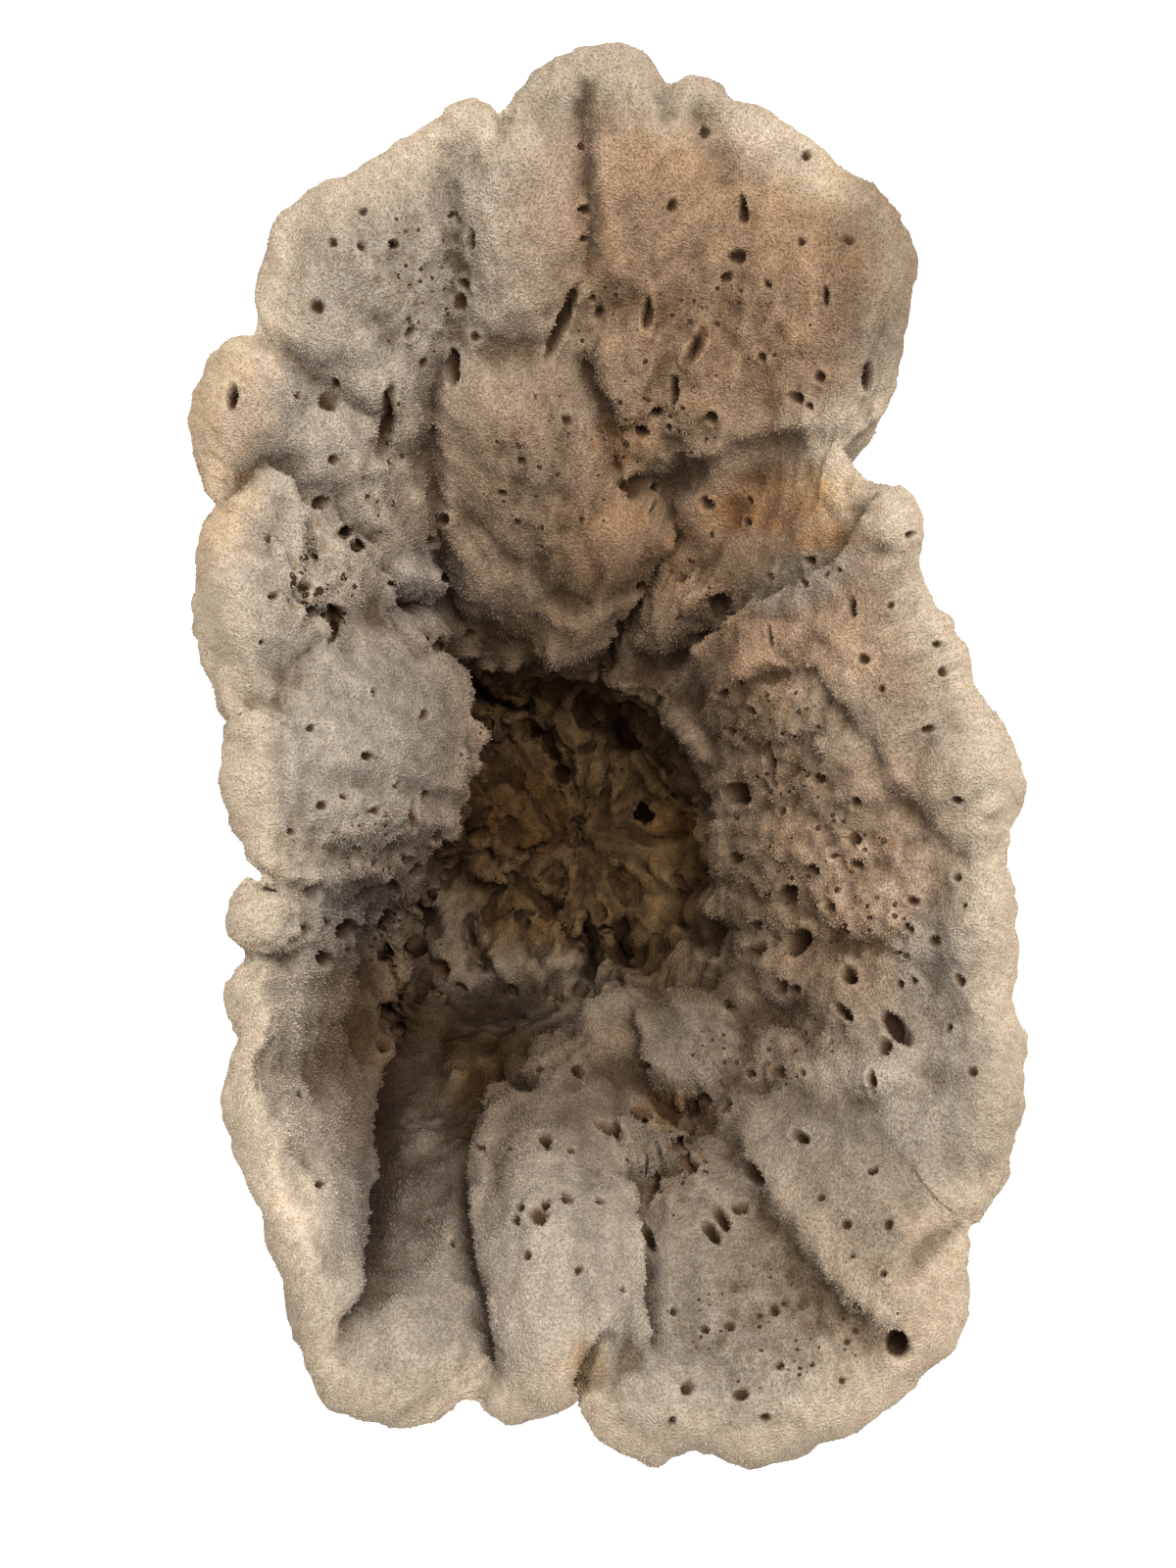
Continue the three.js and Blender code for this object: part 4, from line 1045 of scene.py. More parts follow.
def split_triangles(corners: np.ndarray, middles: np.ndarray, points: np.ndarray) -> np.ndarray:
    """Cut triangles at the middles of their halved sides.

    Args:
        corners: Three vertex numbers for each triangle.
        middles: The vertex in the middle of each side, from the first corner's on, or -1 for a whole side.
        points: The vertices' places.

    Returns:
        The vertex numbers of the new triangles.
    """
    halved = (middles >= 0).sum(axis=1)
    first_halved = np.argmax(middles >= 0, axis=1)
    after_whole = (np.argmin(middles >= 0, axis=1) + 1) % 3
    turn = np.where(halved == 1, first_halved, after_whole)
    order = (turn[:, None] + np.arange(3)) % 3
    a, b, c = np.take_along_axis(corners, order, axis=1).T
    ab, bc, ca = np.take_along_axis(middles, order, axis=1).T
    across_first = np.linalg.norm(points[a] - points[bc], axis=1)
    shorter = across_first < np.linalg.norm(points[ab] - points[c], axis=1)
    cuts = (
        (halved == 0, ((a, b, c),)),
        (halved == 1, ((a, ab, c), (ab, b, c))),
        ((halved == 2) & shorter, ((ab, b, bc), (a, ab, bc), (a, bc, c))),
        ((halved == 2) & ~shorter, ((ab, b, bc), (a, ab, c), (ab, bc, c))),
        (halved == 3, ((a, ab, ca), (ab, b, bc), (ca, bc, c), (ab, bc, ca))),
    )
    return np.concatenate([
        np.stack(triangle, axis=1)[chosen] for chosen, made in cuts for triangle in made
    ])


def halve_edges(mesh: bpy.types.Mesh, longest: np.ndarray) -> None:
    """Halve the inside's edges that are too long.

    Args:
        mesh: The mesh, which is changed.
        longest: How long an edge at each vertex may be, in mm.
    """
    count = len(mesh.vertices)
    points = read_vectors(mesh.vertices, "co", count)
    corners = np.empty(len(mesh.polygons) * 3, dtype=np.int32)
    mesh.polygons.foreach_get("vertices", corners)
    corners = corners.reshape(-1, 3)
    names = [layer.name for layer in mesh.attributes if layer.data_type == "FLOAT"]
    layers = {name: read_values(mesh, name) for name in names}
    limit = np.where(layers["relief_share"] > 0.1, longest, np.inf)
    sides = np.sort(np.stack([corners, np.roll(corners, -1, axis=1)], axis=2), axis=2).reshape(-1, 2)
    code, place = np.unique(sides[:, 0].astype(np.int64) * count + sides[:, 1], return_inverse=True)
    first, second = code // count, code % count
    halved = np.linalg.norm(points[first] - points[second], axis=1) > np.minimum(limit[first], limit[second])
    middle = np.where(halved, count + np.cumsum(halved) - 1, -1)
    first, second = first[halved], second[halved]
    points = np.concatenate([points, (points[first] + points[second]) / 2])
    faces = split_triangles(corners, middle[place].reshape(-1, 3), points)
    mesh.clear_geometry()
    mesh.from_pydata(points.tolist(), [], faces.tolist())
    for name, values in layers.items():
        write_values(mesh, name, np.concatenate([values, (values[first] + values[second]) / 2]))
    log.info("%d edges halved, %d triangles", halved.sum(), len(faces))


def patches_at(patches: tuple[Patch, ...], u: np.ndarray, v: np.ndarray) -> np.ndarray:
    """Return how strong the strongest of some patches is at each place."""
    strength = np.zeros(u.shape)
    for patch in patches:
        across = across_oval(patch.at, patch.half, patch.turn, u, v)
        strength = np.maximum(strength, patch.strength * (1 - smooth(across, 0.4, 1.0)))
    return strength


def rough(points: np.ndarray, size: float, seed: float) -> np.ndarray:
    """Return noise from about -1 to 1 at points in mm, with bumps of a size in mm."""
    shift = Vector((seed, -seed, 2 * seed))
    to_full_range = 1.6
    return np.array([noise.noise(Vector(point) / size + shift) for point in points]) * to_full_range


def sway(points: np.ndarray, size: float) -> np.ndarray:
    """Return two noises from about -1 to 1 at points in mm, which change over a size in mm."""
    return np.array([noise.noise_vector(Vector(point) / size) for point in points])[:, :2]


def add_object(name: str, data: bpy.types.ID) -> bpy.types.Object:
    """Return a new object of the scene that holds a mesh, a lamp or a camera."""
    item = bpy.data.objects.new(name, data)
    bpy.context.scene.collection.objects.link(item)
    return item


@dataclass(frozen=True)
class Bumps:
    """Bumps of a height and a size in mm, and where in the noise they are taken from."""

    height: float
    size: float
    seed: float

    def at(self, points: np.ndarray) -> np.ndarray:
        """Return how far the bumps stand out at points in mm."""
        return self.height * rough(points, self.size, self.seed)


@dataclass
class SpongeSkin:
    """The whole outer skin of the sponge, closed at the cut."""

    name: str = "sponge_skin"
    bands: tuple[RingBand, ...] = (
        RingBand(Zone.FLOOR, 44, 10, 280),
        RingBand(Zone.DROP, 20, 270, 230),
        RingBand(Zone.WALL, 64, 234, 600),
        RingBand(Zone.LIP, 6, 600, 600),
        RingBand(Zone.OUTSIDE, 32, 480, 130),
    )
    lip_fade: float = 0.8
    relief: Relief = field(default_factory=Relief)
    canals: Canals = field(default_factory=Canals)

    # Longest edges in mm beside folds and creases, how near in the plan those are, and edges at canals
    step_edge: float = 0.65
    step_near: float = 7.0
    canal_edge: float = 1.35

    # How far the relief's lines and the canals stray in the plan, slowly and finely, over sizes in mm
    wander: float = 6.0
    wander_size: float = 6.5
    wander_fine: float = 0.8
    fine_size: float = 1.1
    canal_drift: float = 0.35
    canal_fray: float = 2.0

    # Share of the relief that is left on skin the eye sees edge-on, and between which slants it grows
    edge_on: float = 0.25
    slants: Pair = (0.05, 0.5)

    # How many times the way out, the skin beside steps in the plan, and the surroundings are evened
    out_rounds: int = 30
    step_rounds: int = 4
    step_reach: float = 12.0
    groove_rounds: int = 50

    # Bumps, cracks and furrows in mm, and how much more of them there is on rugged and pitted tissue
    coarse: Bumps = Bumps(0.5, 9.0, 3.1)
    coarse_rugged: float = 3.6
    cracks: Bumps = Bumps(1.0, 11.0, 9.4)
    crack_range: Pair = (0.02, 0.24)
    crack_depth: float = 1.7
    outer: Bumps = Bumps(0.5, 5.0, 8.3)
    small: tuple[Bumps, ...] = (Bumps(0.45, 3.4, 7.7), Bumps(0.28, 1.6, 5.3))
    small_rugged: float = 0.6
    small_pitted: float = 0.7
    furrows: tuple[Bumps, ...] = (Bumps(0.9, 1.0, 2.2), Bumps(0.5, 1.0, 6.1))
    furrow_turns: float = 8.0
    furrow_length: float = 22.0
    furrow_finer: float = 2.2
    swell: float = 2.8

    # Heights in mm between which the tissue turns from rugged to plain, and of the depth mask's 0 and span
    rugged_range: Pair = (30.0, 58.0)
    depth_top: float = 98.0
    depth_span: float = 78.0

    # Where the crease mask grows, in mm, and where the rim mask fades, in the plan and past the lip
    crease_range: Pair = (1.0, 6.0)
    rim_range: Pair = (5.0, 85.0)
    rim_past_lip: float = 0.14

    # Sizes of the space in which the pattern's cells are long up the wall: round it and up it
    ridge_reach: float = 62.0
    ridge_stretch: float = 0.3

    # Below this height in mm a vertex lies on the cut
    on_cut: float = 0.01

    def build(self) -> bpy.types.Object:
        """Make the skin as an object at the origin, in metres, with its masks."""
        mesh = self.make_grid()
        u, v = self.seen(mesh)
        beside_steps = self.relief.near_steps(u, v, self.step_near)
        halve_edges(mesh, np.where(beside_steps, self.step_edge, np.inf))
        self.raise_relief(mesh)
        for _ in range(2):
            halve_edges(mesh, self.canal_edge * self.canals.wanted_size(*self.seen(mesh)))
        self.sink_canals(mesh)
        return add_object(self.name, mesh)

    @staticmethod
    def seen(mesh: bpy.types.Mesh) -> tuple[np.ndarray, np.ndarray]:
        """Return where the mesh's vertices, in mm, are seen in the plan."""
        return PLAN.seen_at(read_vectors(mesh.vertices, "co", len(mesh.vertices)))

    def make_grid(self) -> bpy.types.Mesh:
        """Cover the plain shape with rings of vertices, in mm, from the floor's middle to the cut."""
        stations = RimStations()
        points = [PLAN.point_at(*HOLLOW_CENTRE, FLOOR_HEIGHT)[None, :]]
        relief_share, swell_share, outside = [np.ones(1)], [np.zeros(1)], [np.zeros(1)]
        rings = [np.array([0])]
        count = 1
        for band in self.bands:
            for ring in range(band.rings):
                share = (ring + 1) / band.rings
                vertices = round(band.first + (band.last - band.first) * ring / (band.rings - 1))
                sections = Sections(stations, np.arange(vertices) / vertices)
                points.append(getattr(sections, band.zone.value)(share))
                is_outside = band.zone is Zone.OUTSIDE
                kept = {Zone.LIP: 1 - self.lip_fade * share, Zone.OUTSIDE: 0.0}.get(band.zone, 1.0)
                swelling = math.sin(math.pi * math.sqrt(share)) if is_outside else 0.0
                relief_share.append(np.full(vertices, kept))
                swell_share.append(np.full(vertices, swelling))
                outside.append(np.full(vertices, share if is_outside else 0.0))
                rings.append(np.arange(count, count + vertices))
                count += vertices
        points.append(points[-1].mean(axis=0)[None, :])
        for shares, value in ((relief_share, 0.0), (swell_share, 0.0), (outside, 1.0)):
            shares.append(np.array([value]))
        rings.append(np.array([count]))
        faces = [face for inner, outer in zip(rings, rings[1:]) for face in stitch(inner, outer)]
        mesh = bpy.data.meshes.new(self.name)
        mesh.from_pydata(np.concatenate(points).tolist(), [], faces)
        write_values(mesh, "relief_share", np.concatenate(relief_share))
        write_values(mesh, "swell_share", np.concatenate(swell_share))
        write_values(mesh, "outside", np.concatenate(outside))
        return mesh

    def raise_relief(self, mesh: bpy.types.Mesh) -> None:
        """Raise the relief and the slow unevenness, and store how high and how far in each vertex is.

        Args:
            mesh: The plain grid in mm, which is changed.
        """
        count = len(mesh.vertices)
        plain = read_vectors(mesh.vertices, "co", count)
        normals = read_vectors(mesh.vertex_normals, "vector", count)
        out = unit_rows(evened(mesh, normals, self.out_rounds))
        relief_share = read_values(mesh, "relief_share")[:, None]
        swell_share = read_values(mesh, "swell_share")[:, None]
        inside = relief_share[:, 0] > 0.5
        rugged = self.rugged_at(plain)
        slow = self.wander * sway(plain, self.wander_size)
        fine = sway(plain, self.fine_size)
        wander = slow + self.wander_fine * fine
        facing = np.sum(out * unit_rows(PLAN.eye - plain), axis=1)[:, None]
        relief_share = relief_share * (self.edge_on + (1 - self.edge_on) * smooth(facing, *self.slants))
        lifted = plain
        for _ in range(3):
            u, v = PLAN.seen_at(lifted)
            height = self.relief.height(u + wander[:, 0], v + wander[:, 1])[:, None]
            lifted = plain + out * (relief_share * height + swell_share * self.swell_at(plain)[:, None])
        lap = self.relief.lap(u + wander[:, 0], v + wander[:, 1]) * (UNIT, -UNIT) * relief_share
        lifted[:, :2] += lap
        close = self.relief.near_steps(u, v, self.step_reach) & inside
        lifted = np.where(close[:, None], evened(mesh, lifted, self.step_rounds), lifted)
        crack = 1 - smooth(np.abs(self.cracks.at(lifted)), *self.crack_range)
        coarse = self.coarse.at(lifted) * (1 + self.coarse_rugged * rugged)
        coarse -= crack * self.crack_depth * rugged
        coarse += np.where(inside, self.furrows_at(plain), self.outer.at(plain))
        lifted = lifted + out * np.where(plain[:, 2] < self.on_cut, 0, coarse)[:, None]
        self.place(mesh, lifted)
        # The crease mask is only used to paint shade into creases and cracks
        crease = np.maximum(smooth(-height[:, 0], *self.crease_range), crack * rugged)
        write_values(mesh, "crease", np.where(inside, crease, 0))
        drift = self.canal_drift * slow + self.canal_fray * fine
        write_values(mesh, "drift_u", drift[:, 0])
        write_values(mesh, "drift_v", drift[:, 1])

    def furrows_at(self, points: np.ndarray) -> np.ndarray:
        """Return the height of the furrows that run up the wall, in mm, at points in mm."""
        x, y, reach = self.from_hollow(points)
        turn = np.arctan2(y, x)
        around_wall = np.cos(turn) * self.furrow_turns, np.sin(turn) * self.furrow_turns
        spread = np.stack([*around_wall, reach / self.furrow_length], axis=1)
        broad, fine = self.furrows
        return broad.at(spread) + fine.at(spread * self.furrow_finer)

    @staticmethod
    def from_hollow(points: np.ndarray) -> tuple[np.ndarray, np.ndarray, np.ndarray]:
        """Return how far points lie from the hollow's middle: to the right, away and in all, in mm."""
        x, y = (points - PLAN.point_at(*HOLLOW_CENTRE, FLOOR_HEIGHT)).T[:2]
        return x, y, np.hypot(x, y)

    def rugged_at(self, points: np.ndarray) -> np.ndarray:
        """Return how rugged the tissue is at points in mm: 1 in the bottom of the cup, 0 on its wall."""
        return 1 - smooth(points[:, 2], *self.rugged_range)

    def sink_canals(self, mesh: bpy.types.Mesh) -> None:
        """Sink the canals and the small roughness, and store the masks.

        Args:
            mesh: The refined grid in mm, which ends up in metres.
        """
        count = len(mesh.vertices)
        lifted = read_vectors(mesh.vertices, "co", count)
        out = read_vectors(mesh.vertex_normals, "vector", count)
        inside = read_values(mesh, "relief_share") > 0.1
        rugged = self.rugged_at(lifted) * inside
        u, v = PLAN.seen_at(lifted)
        sunk, hole = self.canals.sink(u + read_values(mesh, "drift_u"), v + read_values(mesh, "drift_v"))
        pitted = np.where(inside, patches_at(PITTED_PATCHES, u, v), 0)
        bumps = sum(layer.at(lifted) for layer in self.small)
        bumps *= 1 + self.small_rugged * rugged + self.small_pitted * pitted
        shift = np.where(lifted[:, 2] < self.on_cut, 0, np.where(inside, sunk, 0) + bumps)
        write_values(mesh, "facing", np.abs(np.sum(out * unit_rows(PLAN.eye - lifted), axis=1)))
        write_values(mesh, "depth", np.where(inside, (self.depth_top - lifted[:, 2]) / self.depth_span, 0))
        at_rim = 1 - smooth(along_path(RIM + RIM[:1], u, v)[0], *self.rim_range)
        past_lip = smooth(read_values(mesh, "outside"), 0, self.rim_past_lip)
        write_values(mesh, "rim", np.where(inside, at_rim, 1 - past_lip))
        self.lay_ridges(mesh, lifted)
        lifted = lifted + out * shift[:, None]
        lifted[:, 2] = np.maximum(lifted[:, 2], 0)
        middle = (lifted.max(axis=0) + lifted.min(axis=0)) / 2 * (1, 1, 0)
        self.middle = middle * MILLIMETRE
        self.place(mesh, lifted)
        # The groove mask paints shade into grooves and light onto ridges
        write_values(mesh, "groove", grooves(mesh, self.groove_rounds))
        self.place(mesh, (lifted - middle) * MILLIMETRE)
        # The hole mask sets the painted shade in canals, and keeps fibres out of them
        write_values(mesh, "hole", np.where(inside, hole, 0))
        for name, patches in MASKS.items():
            write_values(mesh, name, np.where(inside, patches_at(patches, u, v), 0))
        mesh.polygons.foreach_set("use_smooth", np.ones(len(mesh.polygons), dtype=bool))
        mesh.update()

    def lay_ridges(self, mesh: bpy.types.Mesh, points: np.ndarray) -> None:
        """Store a place in mm in which a cell of any pattern is longer up the wall than along it."""
        x, y, reach = self.from_hollow(points)
        around_wall = x / reach * self.ridge_reach, y / reach * self.ridge_reach
        wound = np.stack([*around_wall, reach * self.ridge_stretch], axis=1)
        layer = mesh.attributes.new("wound", "FLOAT_VECTOR", "POINT")
        layer.data.foreach_set("vector", np.nan_to_num(wound).astype(np.float32).ravel())

    @staticmethod
    def place(mesh: bpy.types.Mesh, points: np.ndarray) -> None:
        """Move the mesh's vertices to points."""
        mesh.vertices.foreach_set("co", points.astype(np.float32).ravel())
        mesh.update()

    def swell_at(self, points: np.ndarray) -> np.ndarray:
        """Return the slow swelling of the outside at points, in mm, from waves of unlike lengths in mm."""
        x, y, z = points.T
        broad = np.sin(x / 11 + np.sin(z / 17)) * np.sin(z / 14 + y / 23)
        folded = np.sin(y / 9 + z / 26) * np.sin(x / 15 - z / 21)
        return self.swell * (broad + 0.8 * folded)


Value = "Wire | float"


class Wire:
    """A number in a material, with the usual arithmetic."""

    def __init__(self, tree: bpy.types.NodeTree, socket: bpy.types.NodeSocket) -> None:
        """Hold a socket of a tree."""
        self.tree = tree
        self.socket = socket

    def maths(self, operation: str, first: Value, second: Value = 0.0) -> "Wire":
        """Add a Math node.

        Args:
            operation: Blender's name of the operation.
            first: The first operand.
            second: The second operand.

        Returns:
            The node's result.
        """
        node = Nodes(self.tree).add("ShaderNodeMath", {"operation": operation}, {0: first, 1: second})
        return Wire(self.tree, node.outputs[0])

    def __add__(self, other: Value) -> "Wire":
        """Return the sum."""
        return self.maths("ADD", self, other)

    __radd__ = __add__

    def __sub__(self, other: Value) -> "Wire":
        """Return the difference."""
        return self.maths("SUBTRACT", self, other)

    def __rsub__(self, other: Value) -> "Wire":
        """Return another value less this one."""
        return self.maths("SUBTRACT", other, self)

    def __mul__(self, other: Value) -> "Wire":
        """Return the product."""
        return self.maths("MULTIPLY", self, other)

    __rmul__ = __mul__

    def larger(self, other: Value) -> "Wire":
        """Return the larger of this value and another."""
        return self.maths("MAXIMUM", self, other)

    def clamped(self) -> "Wire":
        """Return the value kept from 0 to 1."""
        return self.maths("MINIMUM", self, 1.0).larger(0.0)

    def ramp(self, low: float, high: float) -> "Wire":
        """Return 0 below low, 1 above high and a straight line between them."""
        return ((self - low) * (1 / (high - low))).clamped()


class Nodes:
    """A tree of nodes that is being built."""

    def __init__(self, tree: bpy.types.NodeTree) -> None:
        """Hold the tree."""
        self.tree = tree

    def add(self, kind: str, settings: dict[str, object], sockets: dict[str | int, object]) -> bpy.types.Node:
        """Add a node.

        Args:
            kind: Blender's name of the node's type.
            settings: Its own settings, which are set first.
            sockets: Values, wires or sockets for its inputs by name or number.

        Returns:
            The node.
        """
        node = self.tree.nodes.new(kind)
        for name, value in settings.items():
            setattr(node, name, value)
        for name, value in sockets.items():
            self.join(node.inputs[name], value)
        return node

    def join(self, socket: bpy.types.NodeSocket, value: object) -> None:
        """Link a wire or a socket to an input, or set the input's value."""
        if isinstance(value, Wire):
            value = value.socket
        if isinstance(value, bpy.types.NodeSocket):
            self.tree.links.new(value, socket)
        elif isinstance(value, tuple) and socket.type == "RGBA":
            socket.default_value = (*value, 1.0)
        else:
            socket.default_value = value


def linear(red: int, green: int, blue: int) -> Colour:
    """Return a screen colour, 0 to 255 for each part, as a linear one."""
    shares = (part / 255 for part in (red, green, blue))
    return tuple(share / 12.92 if share <= 0.04045 else ((share + 0.055) / 1.055) ** 2.4 for share in shares)


class Shader(Nodes):
    """The nodes of one material."""

    def __init__(self, name: str, roughness: float, gloss: float = 0.04) -> None:
        """Start a material.

        Args:
            name: The material's name.
            roughness: Its roughness.
            gloss: Its specular level.
        """
        self.material = bpy.data.materials.new(name)
        self.material.use_nodes = True
        super().__init__(self.material.node_tree)
        self.surface = self.tree.nodes["Principled BSDF"]
        self.surface.inputs["Roughness"].default_value = roughness
        self.surface.inputs["Specular IOR Level"].default_value = gloss

    def mask(self, name: str) -> Wire:
        """Return a mask that is stored on the mesh."""
        node = self.add("ShaderNodeAttribute", {"attribute_name": name}, {})
        return Wire(self.tree, node.outputs["Fac"])

    def place(self) -> bpy.types.NodeSocket:
        """Return the place on the object in metres."""
        return self.add("ShaderNodeTexCoord", {}, {}).outputs["Object"]

    def grain(self, size: float, detail: float = 2.0, roughness: float = 0.6) -> Wire:
        """Return noise from 0 to 1 with grains of a size in mm."""
        sockets = {"Vector": self.place(), "Detail": detail, "Roughness": roughness}
        sockets["Scale"] = 1 / (size * MILLIMETRE)
        return Wire(self.tree, self.add("ShaderNodeTexNoise", {}, sockets).outputs["Fac"])

    def cells(self, size: float, stretch: float = 1.0) -> tuple[Wire, Wire]:
        """Scatter points that lie about a size in mm apart.

        Args:
            size: The mean distance between them.
            stretch: Below 1 for cells that are long from the near side to the far one.

        Returns:
            The distance to the nearest point, as a share of the size, and a number that is random to it.
        """
        return self.cells_at(self.times(self.place(), (1.0, stretch, 1.0)), size * MILLIMETRE)

    def cells_at(self, place: bpy.types.NodeSocket, size: float) -> tuple[Wire, Wire]:
        """Return what cells returns, for any kind of place and a size in its unit."""
        node = self.add("ShaderNodeTexVoronoi", {}, {"Vector": place, "Scale": 1 / size})
        split = self.add("ShaderNodeSeparateColor", {}, {0: node.outputs["Color"]})
        return Wire(self.tree, node.outputs["Distance"]), Wire(self.tree, split.outputs[0])

    def mix(self, share: Value, first: object, second: object) -> bpy.types.NodeSocket:
        """Return a colour between two colours."""
        return self.add("ShaderNodeMix", {"data_type": "RGBA"}, {0: share, 6: first, 7: second}).outputs[2]

    def dim(self, colour: object, factor: Wire) -> bpy.types.NodeSocket:
        """Return a colour times a number."""
        node = self.add("ShaderNodeVectorMath", {"operation": "SCALE"}, {0: colour, "Scale": factor})
        return node.outputs[0]

    def times(self, value: object, factor: Colour) -> bpy.types.NodeSocket:
        """Return a colour or a place whose parts are multiplied by a factor each."""
        node = self.add("ShaderNodeVectorMath", {"operation": "MULTIPLY"}, {0: value, 1: factor})
        return node.outputs[0]

    def tint(self, share: Value, colour: object, factor: Colour) -> bpy.types.NodeSocket:
        """Return a colour whose parts are multiplied by a factor each, to a share."""
        return self.mix(share, colour, self.times(colour, factor))

    def finish(self, colour: object, bump: Wire | None, reach: float) -> bpy.types.Material:
        """Connect the colour and the bump.

        Args:
            colour: Colour of the surface.
            bump: Height of the bumps, 0 to 1, or None.
            reach: Height in metres that 1 stands for.

        Returns:
            The material.
        """
        self.join(self.surface.inputs["Base Color"], colour)
        if bump is not None:
            node = self.add("ShaderNodeBump", {}, {"Height": bump, "Distance": reach, "Strength": 1.0})
            self.join(self.surface.inputs["Normal"], node.outputs[0])
        return self.material


@dataclass(frozen=True)
class TissueFinish:
    """Spongy tissue: cream rim, tan wall, floor darker and browner with depth, grey-violet and amber patches,
    felted grain.

    Amber and the painted shades of grooves and of the net's gaps are factors, and the other colours are
    colours. Funnel and hole are painted shade in the canals and pores. Cells are in mm. A kind of pore has
    the distance between pores in mm and the widest pore's radius as a share of it.
    """

    name: str = "spongy tissue"
    rim: Colour = linear(150, 136, 118)
    wall: Colour = linear(136, 126, 114)
    low: Colour = linear(106, 92, 79)
    floor: Colour = linear(80, 62, 41)
    warm: Colour = linear(130, 104, 78)
    grey: Colour = linear(128, 122, 114)
    amber: Colour = (1.08, 0.8, 0.45)
    painted_groove_shade: Colour = (0.52, 0.47, 0.42)
    painted_gap_shade: Colour = (0.62, 0.54, 0.45)
    funnel: Colour = linear(80, 60, 43)
    hole: Colour = linear(38, 25, 16)
    outside: Colour = linear(158, 141, 118)
    fine_cell: float = 0.58
    coarse_cell: float = 1.1
    ridge_cell: float = 0.8
    lace_cell: float = 2.3
    pore_kinds: tuple[Pair, Pair] = ((1.9, 0.34), (3.6, 0.26))
    pore_steep: float = 14.0
    bump: float = 0.00024

    def tissue_colour(self, shader: Shader) -> bpy.types.NodeSocket:
        """Return the colour of the tissue before its grain."""
        drift = shader.grain(9.0, 3.0) - 0.5
        depth = shader.mask("depth") + drift * 0.2
        rim = shader.mask("rim") + drift * 0.5
        groove = shader.mask("groove")
        # Darker and browner with depth: partly the tissue's own brown, partly painted shade of the deep cup
        colour = shader.mix(depth.ramp(0.05, 0.4), self.wall, self.low)
        colour = shader.mix(shader.mask("warm") * 0.8 * (1 - depth.ramp(0.3, 0.7)), colour, self.warm)
        colour = shader.mix(depth.ramp(0.45, 0.85), colour, self.floor)
        colour = shader.mix(rim.ramp(0.1, 0.9), colour, self.rim)
        patchy = shader.grain(5.0, 3.0).ramp(0.3, 0.7)
        colour = shader.mix(shader.mask("grey") * (0.5 + 0.4 * patchy), colour, self.grey)
        colour = shader.tint(shader.mask("amber") * (0.3 + 0.6 * patchy), colour, self.amber)
        # Painted light and painted shade from the patches, partly the tissue's own lighter and darker tone
        colour = shader.dim(colour, 1 + 0.5 * shader.mask("painted_light_and_pale_tone") - 0.5 * shader.mask("dim"))
        # Painted light on ridges and painted shade in grooves, for the shade that falls in the skin's hollows
        colour = shader.dim(colour, 1.0 + 0.3 * (0 - groove).ramp(0.0, 1.2))
        colour = shader.tint(groove.ramp(0.05, 1.3), colour, self.painted_groove_shade)
        return shader.mix(shader.mask("outside").ramp(0.0, 0.4), colour, self.outside)

    def network(self, shader: Shader) -> Wire:
        """Return the fine network of light ridges, 1, round dark gaps, 0."""
        fine = shader.cells(self.fine_cell)[0].ramp(0.1, 0.7)
        coarse = shader.cells(self.coarse_cell)[0].ramp(0.15, 0.7)
        wound = self.ridged(shader)
        share = shader.mask("rim").ramp(0.0, 0.7) * 0.65
        plain = fine + (coarse - fine) * 0.3
        return plain + (wound - plain) * share

    def ridged(self, shader: Shader) -> Wire:
        """Return a network whose cells are long up the wall."""
        place = shader.add("ShaderNodeAttribute", {"attribute_name": "wound"}, {}).outputs["Vector"]
        return shader.cells_at(place, self.ridge_cell)[0].ramp(0.1, 0.7)

    def lace(self, shader: Shader) -> Wire:
        """Return the wider net of ridges, 1, round hollows, 0, which shows in the pitted patches."""
        wide = shader.cells(self.lace_cell, 0.6)[0].ramp(0.15, 0.6)
        shown = (shader.mask("pitted") * 0.8 + shader.grain(8.0).ramp(0.4, 0.7) * 0.5).clamped()
        shown = shown * (1 - shader.mask("rim").ramp(0.3, 0.8)) * (1 - shader.mask("outside").ramp(0.0, 0.1))
        return 1 - (1 - wide) * shown

    def pores(self, shader: Shader) -> Wire:
        """Return the small pores, 1 in their middles, which are many in the pitted patches."""
        pitted = 0.25 + 0.75 * shader.mask("pitted") + 0.5 * shader.mask("outside").ramp(0.1, 0.4)
        pitted = pitted * (1 - shader.mask("rim").ramp(0.2, 0.7))
        found = []
        for size, widest in self.pore_kinds:
            distance, lot = shader.cells(size)
            edge = lot * pitted * widest
            found.append(((edge - distance) * self.pore_steep).clamped())
        small, large = found
        return small.larger(large)

    def make(self) -> bpy.types.Material:
        """Return the skin's material."""
        shader = Shader(self.name, roughness=0.95)
        colour = self.tissue_colour(shader)
        network = self.network(shader)
        pores = self.pores(shader)
        speckle = shader.grain(0.35, 1.0).ramp(0.3, 0.7)
        lace = self.lace(shader)
        softer = 1.0 - 0.3 * shader.mask("rim").ramp(0.2, 1.0)
        # Painted shade in the gaps of the fibre net and in the lace's hollows
        colour = shader.tint((1 - network) * softer, shader.dim(colour, 0.9 + 0.3 * speckle), self.painted_gap_shade)
        colour = shader.tint(1 - lace, colour, self.painted_gap_shade)
        # Painted shade in canals and pores: brown on their funnels, near black in their middles
        hollow = shader.mask("hole").larger(pores * 0.8)
        # Painted shade in creases and cracks
        colour = shader.mix(shader.mask("crease") * 0.5, colour, self.hole)
        colour = shader.mix(hollow.ramp(0.1, 0.55), colour, self.funnel)
        colour = shader.mix(hollow.ramp(0.45, 1.0), colour, self.hole)
        return shader.finish(colour, speckle, self.bump)


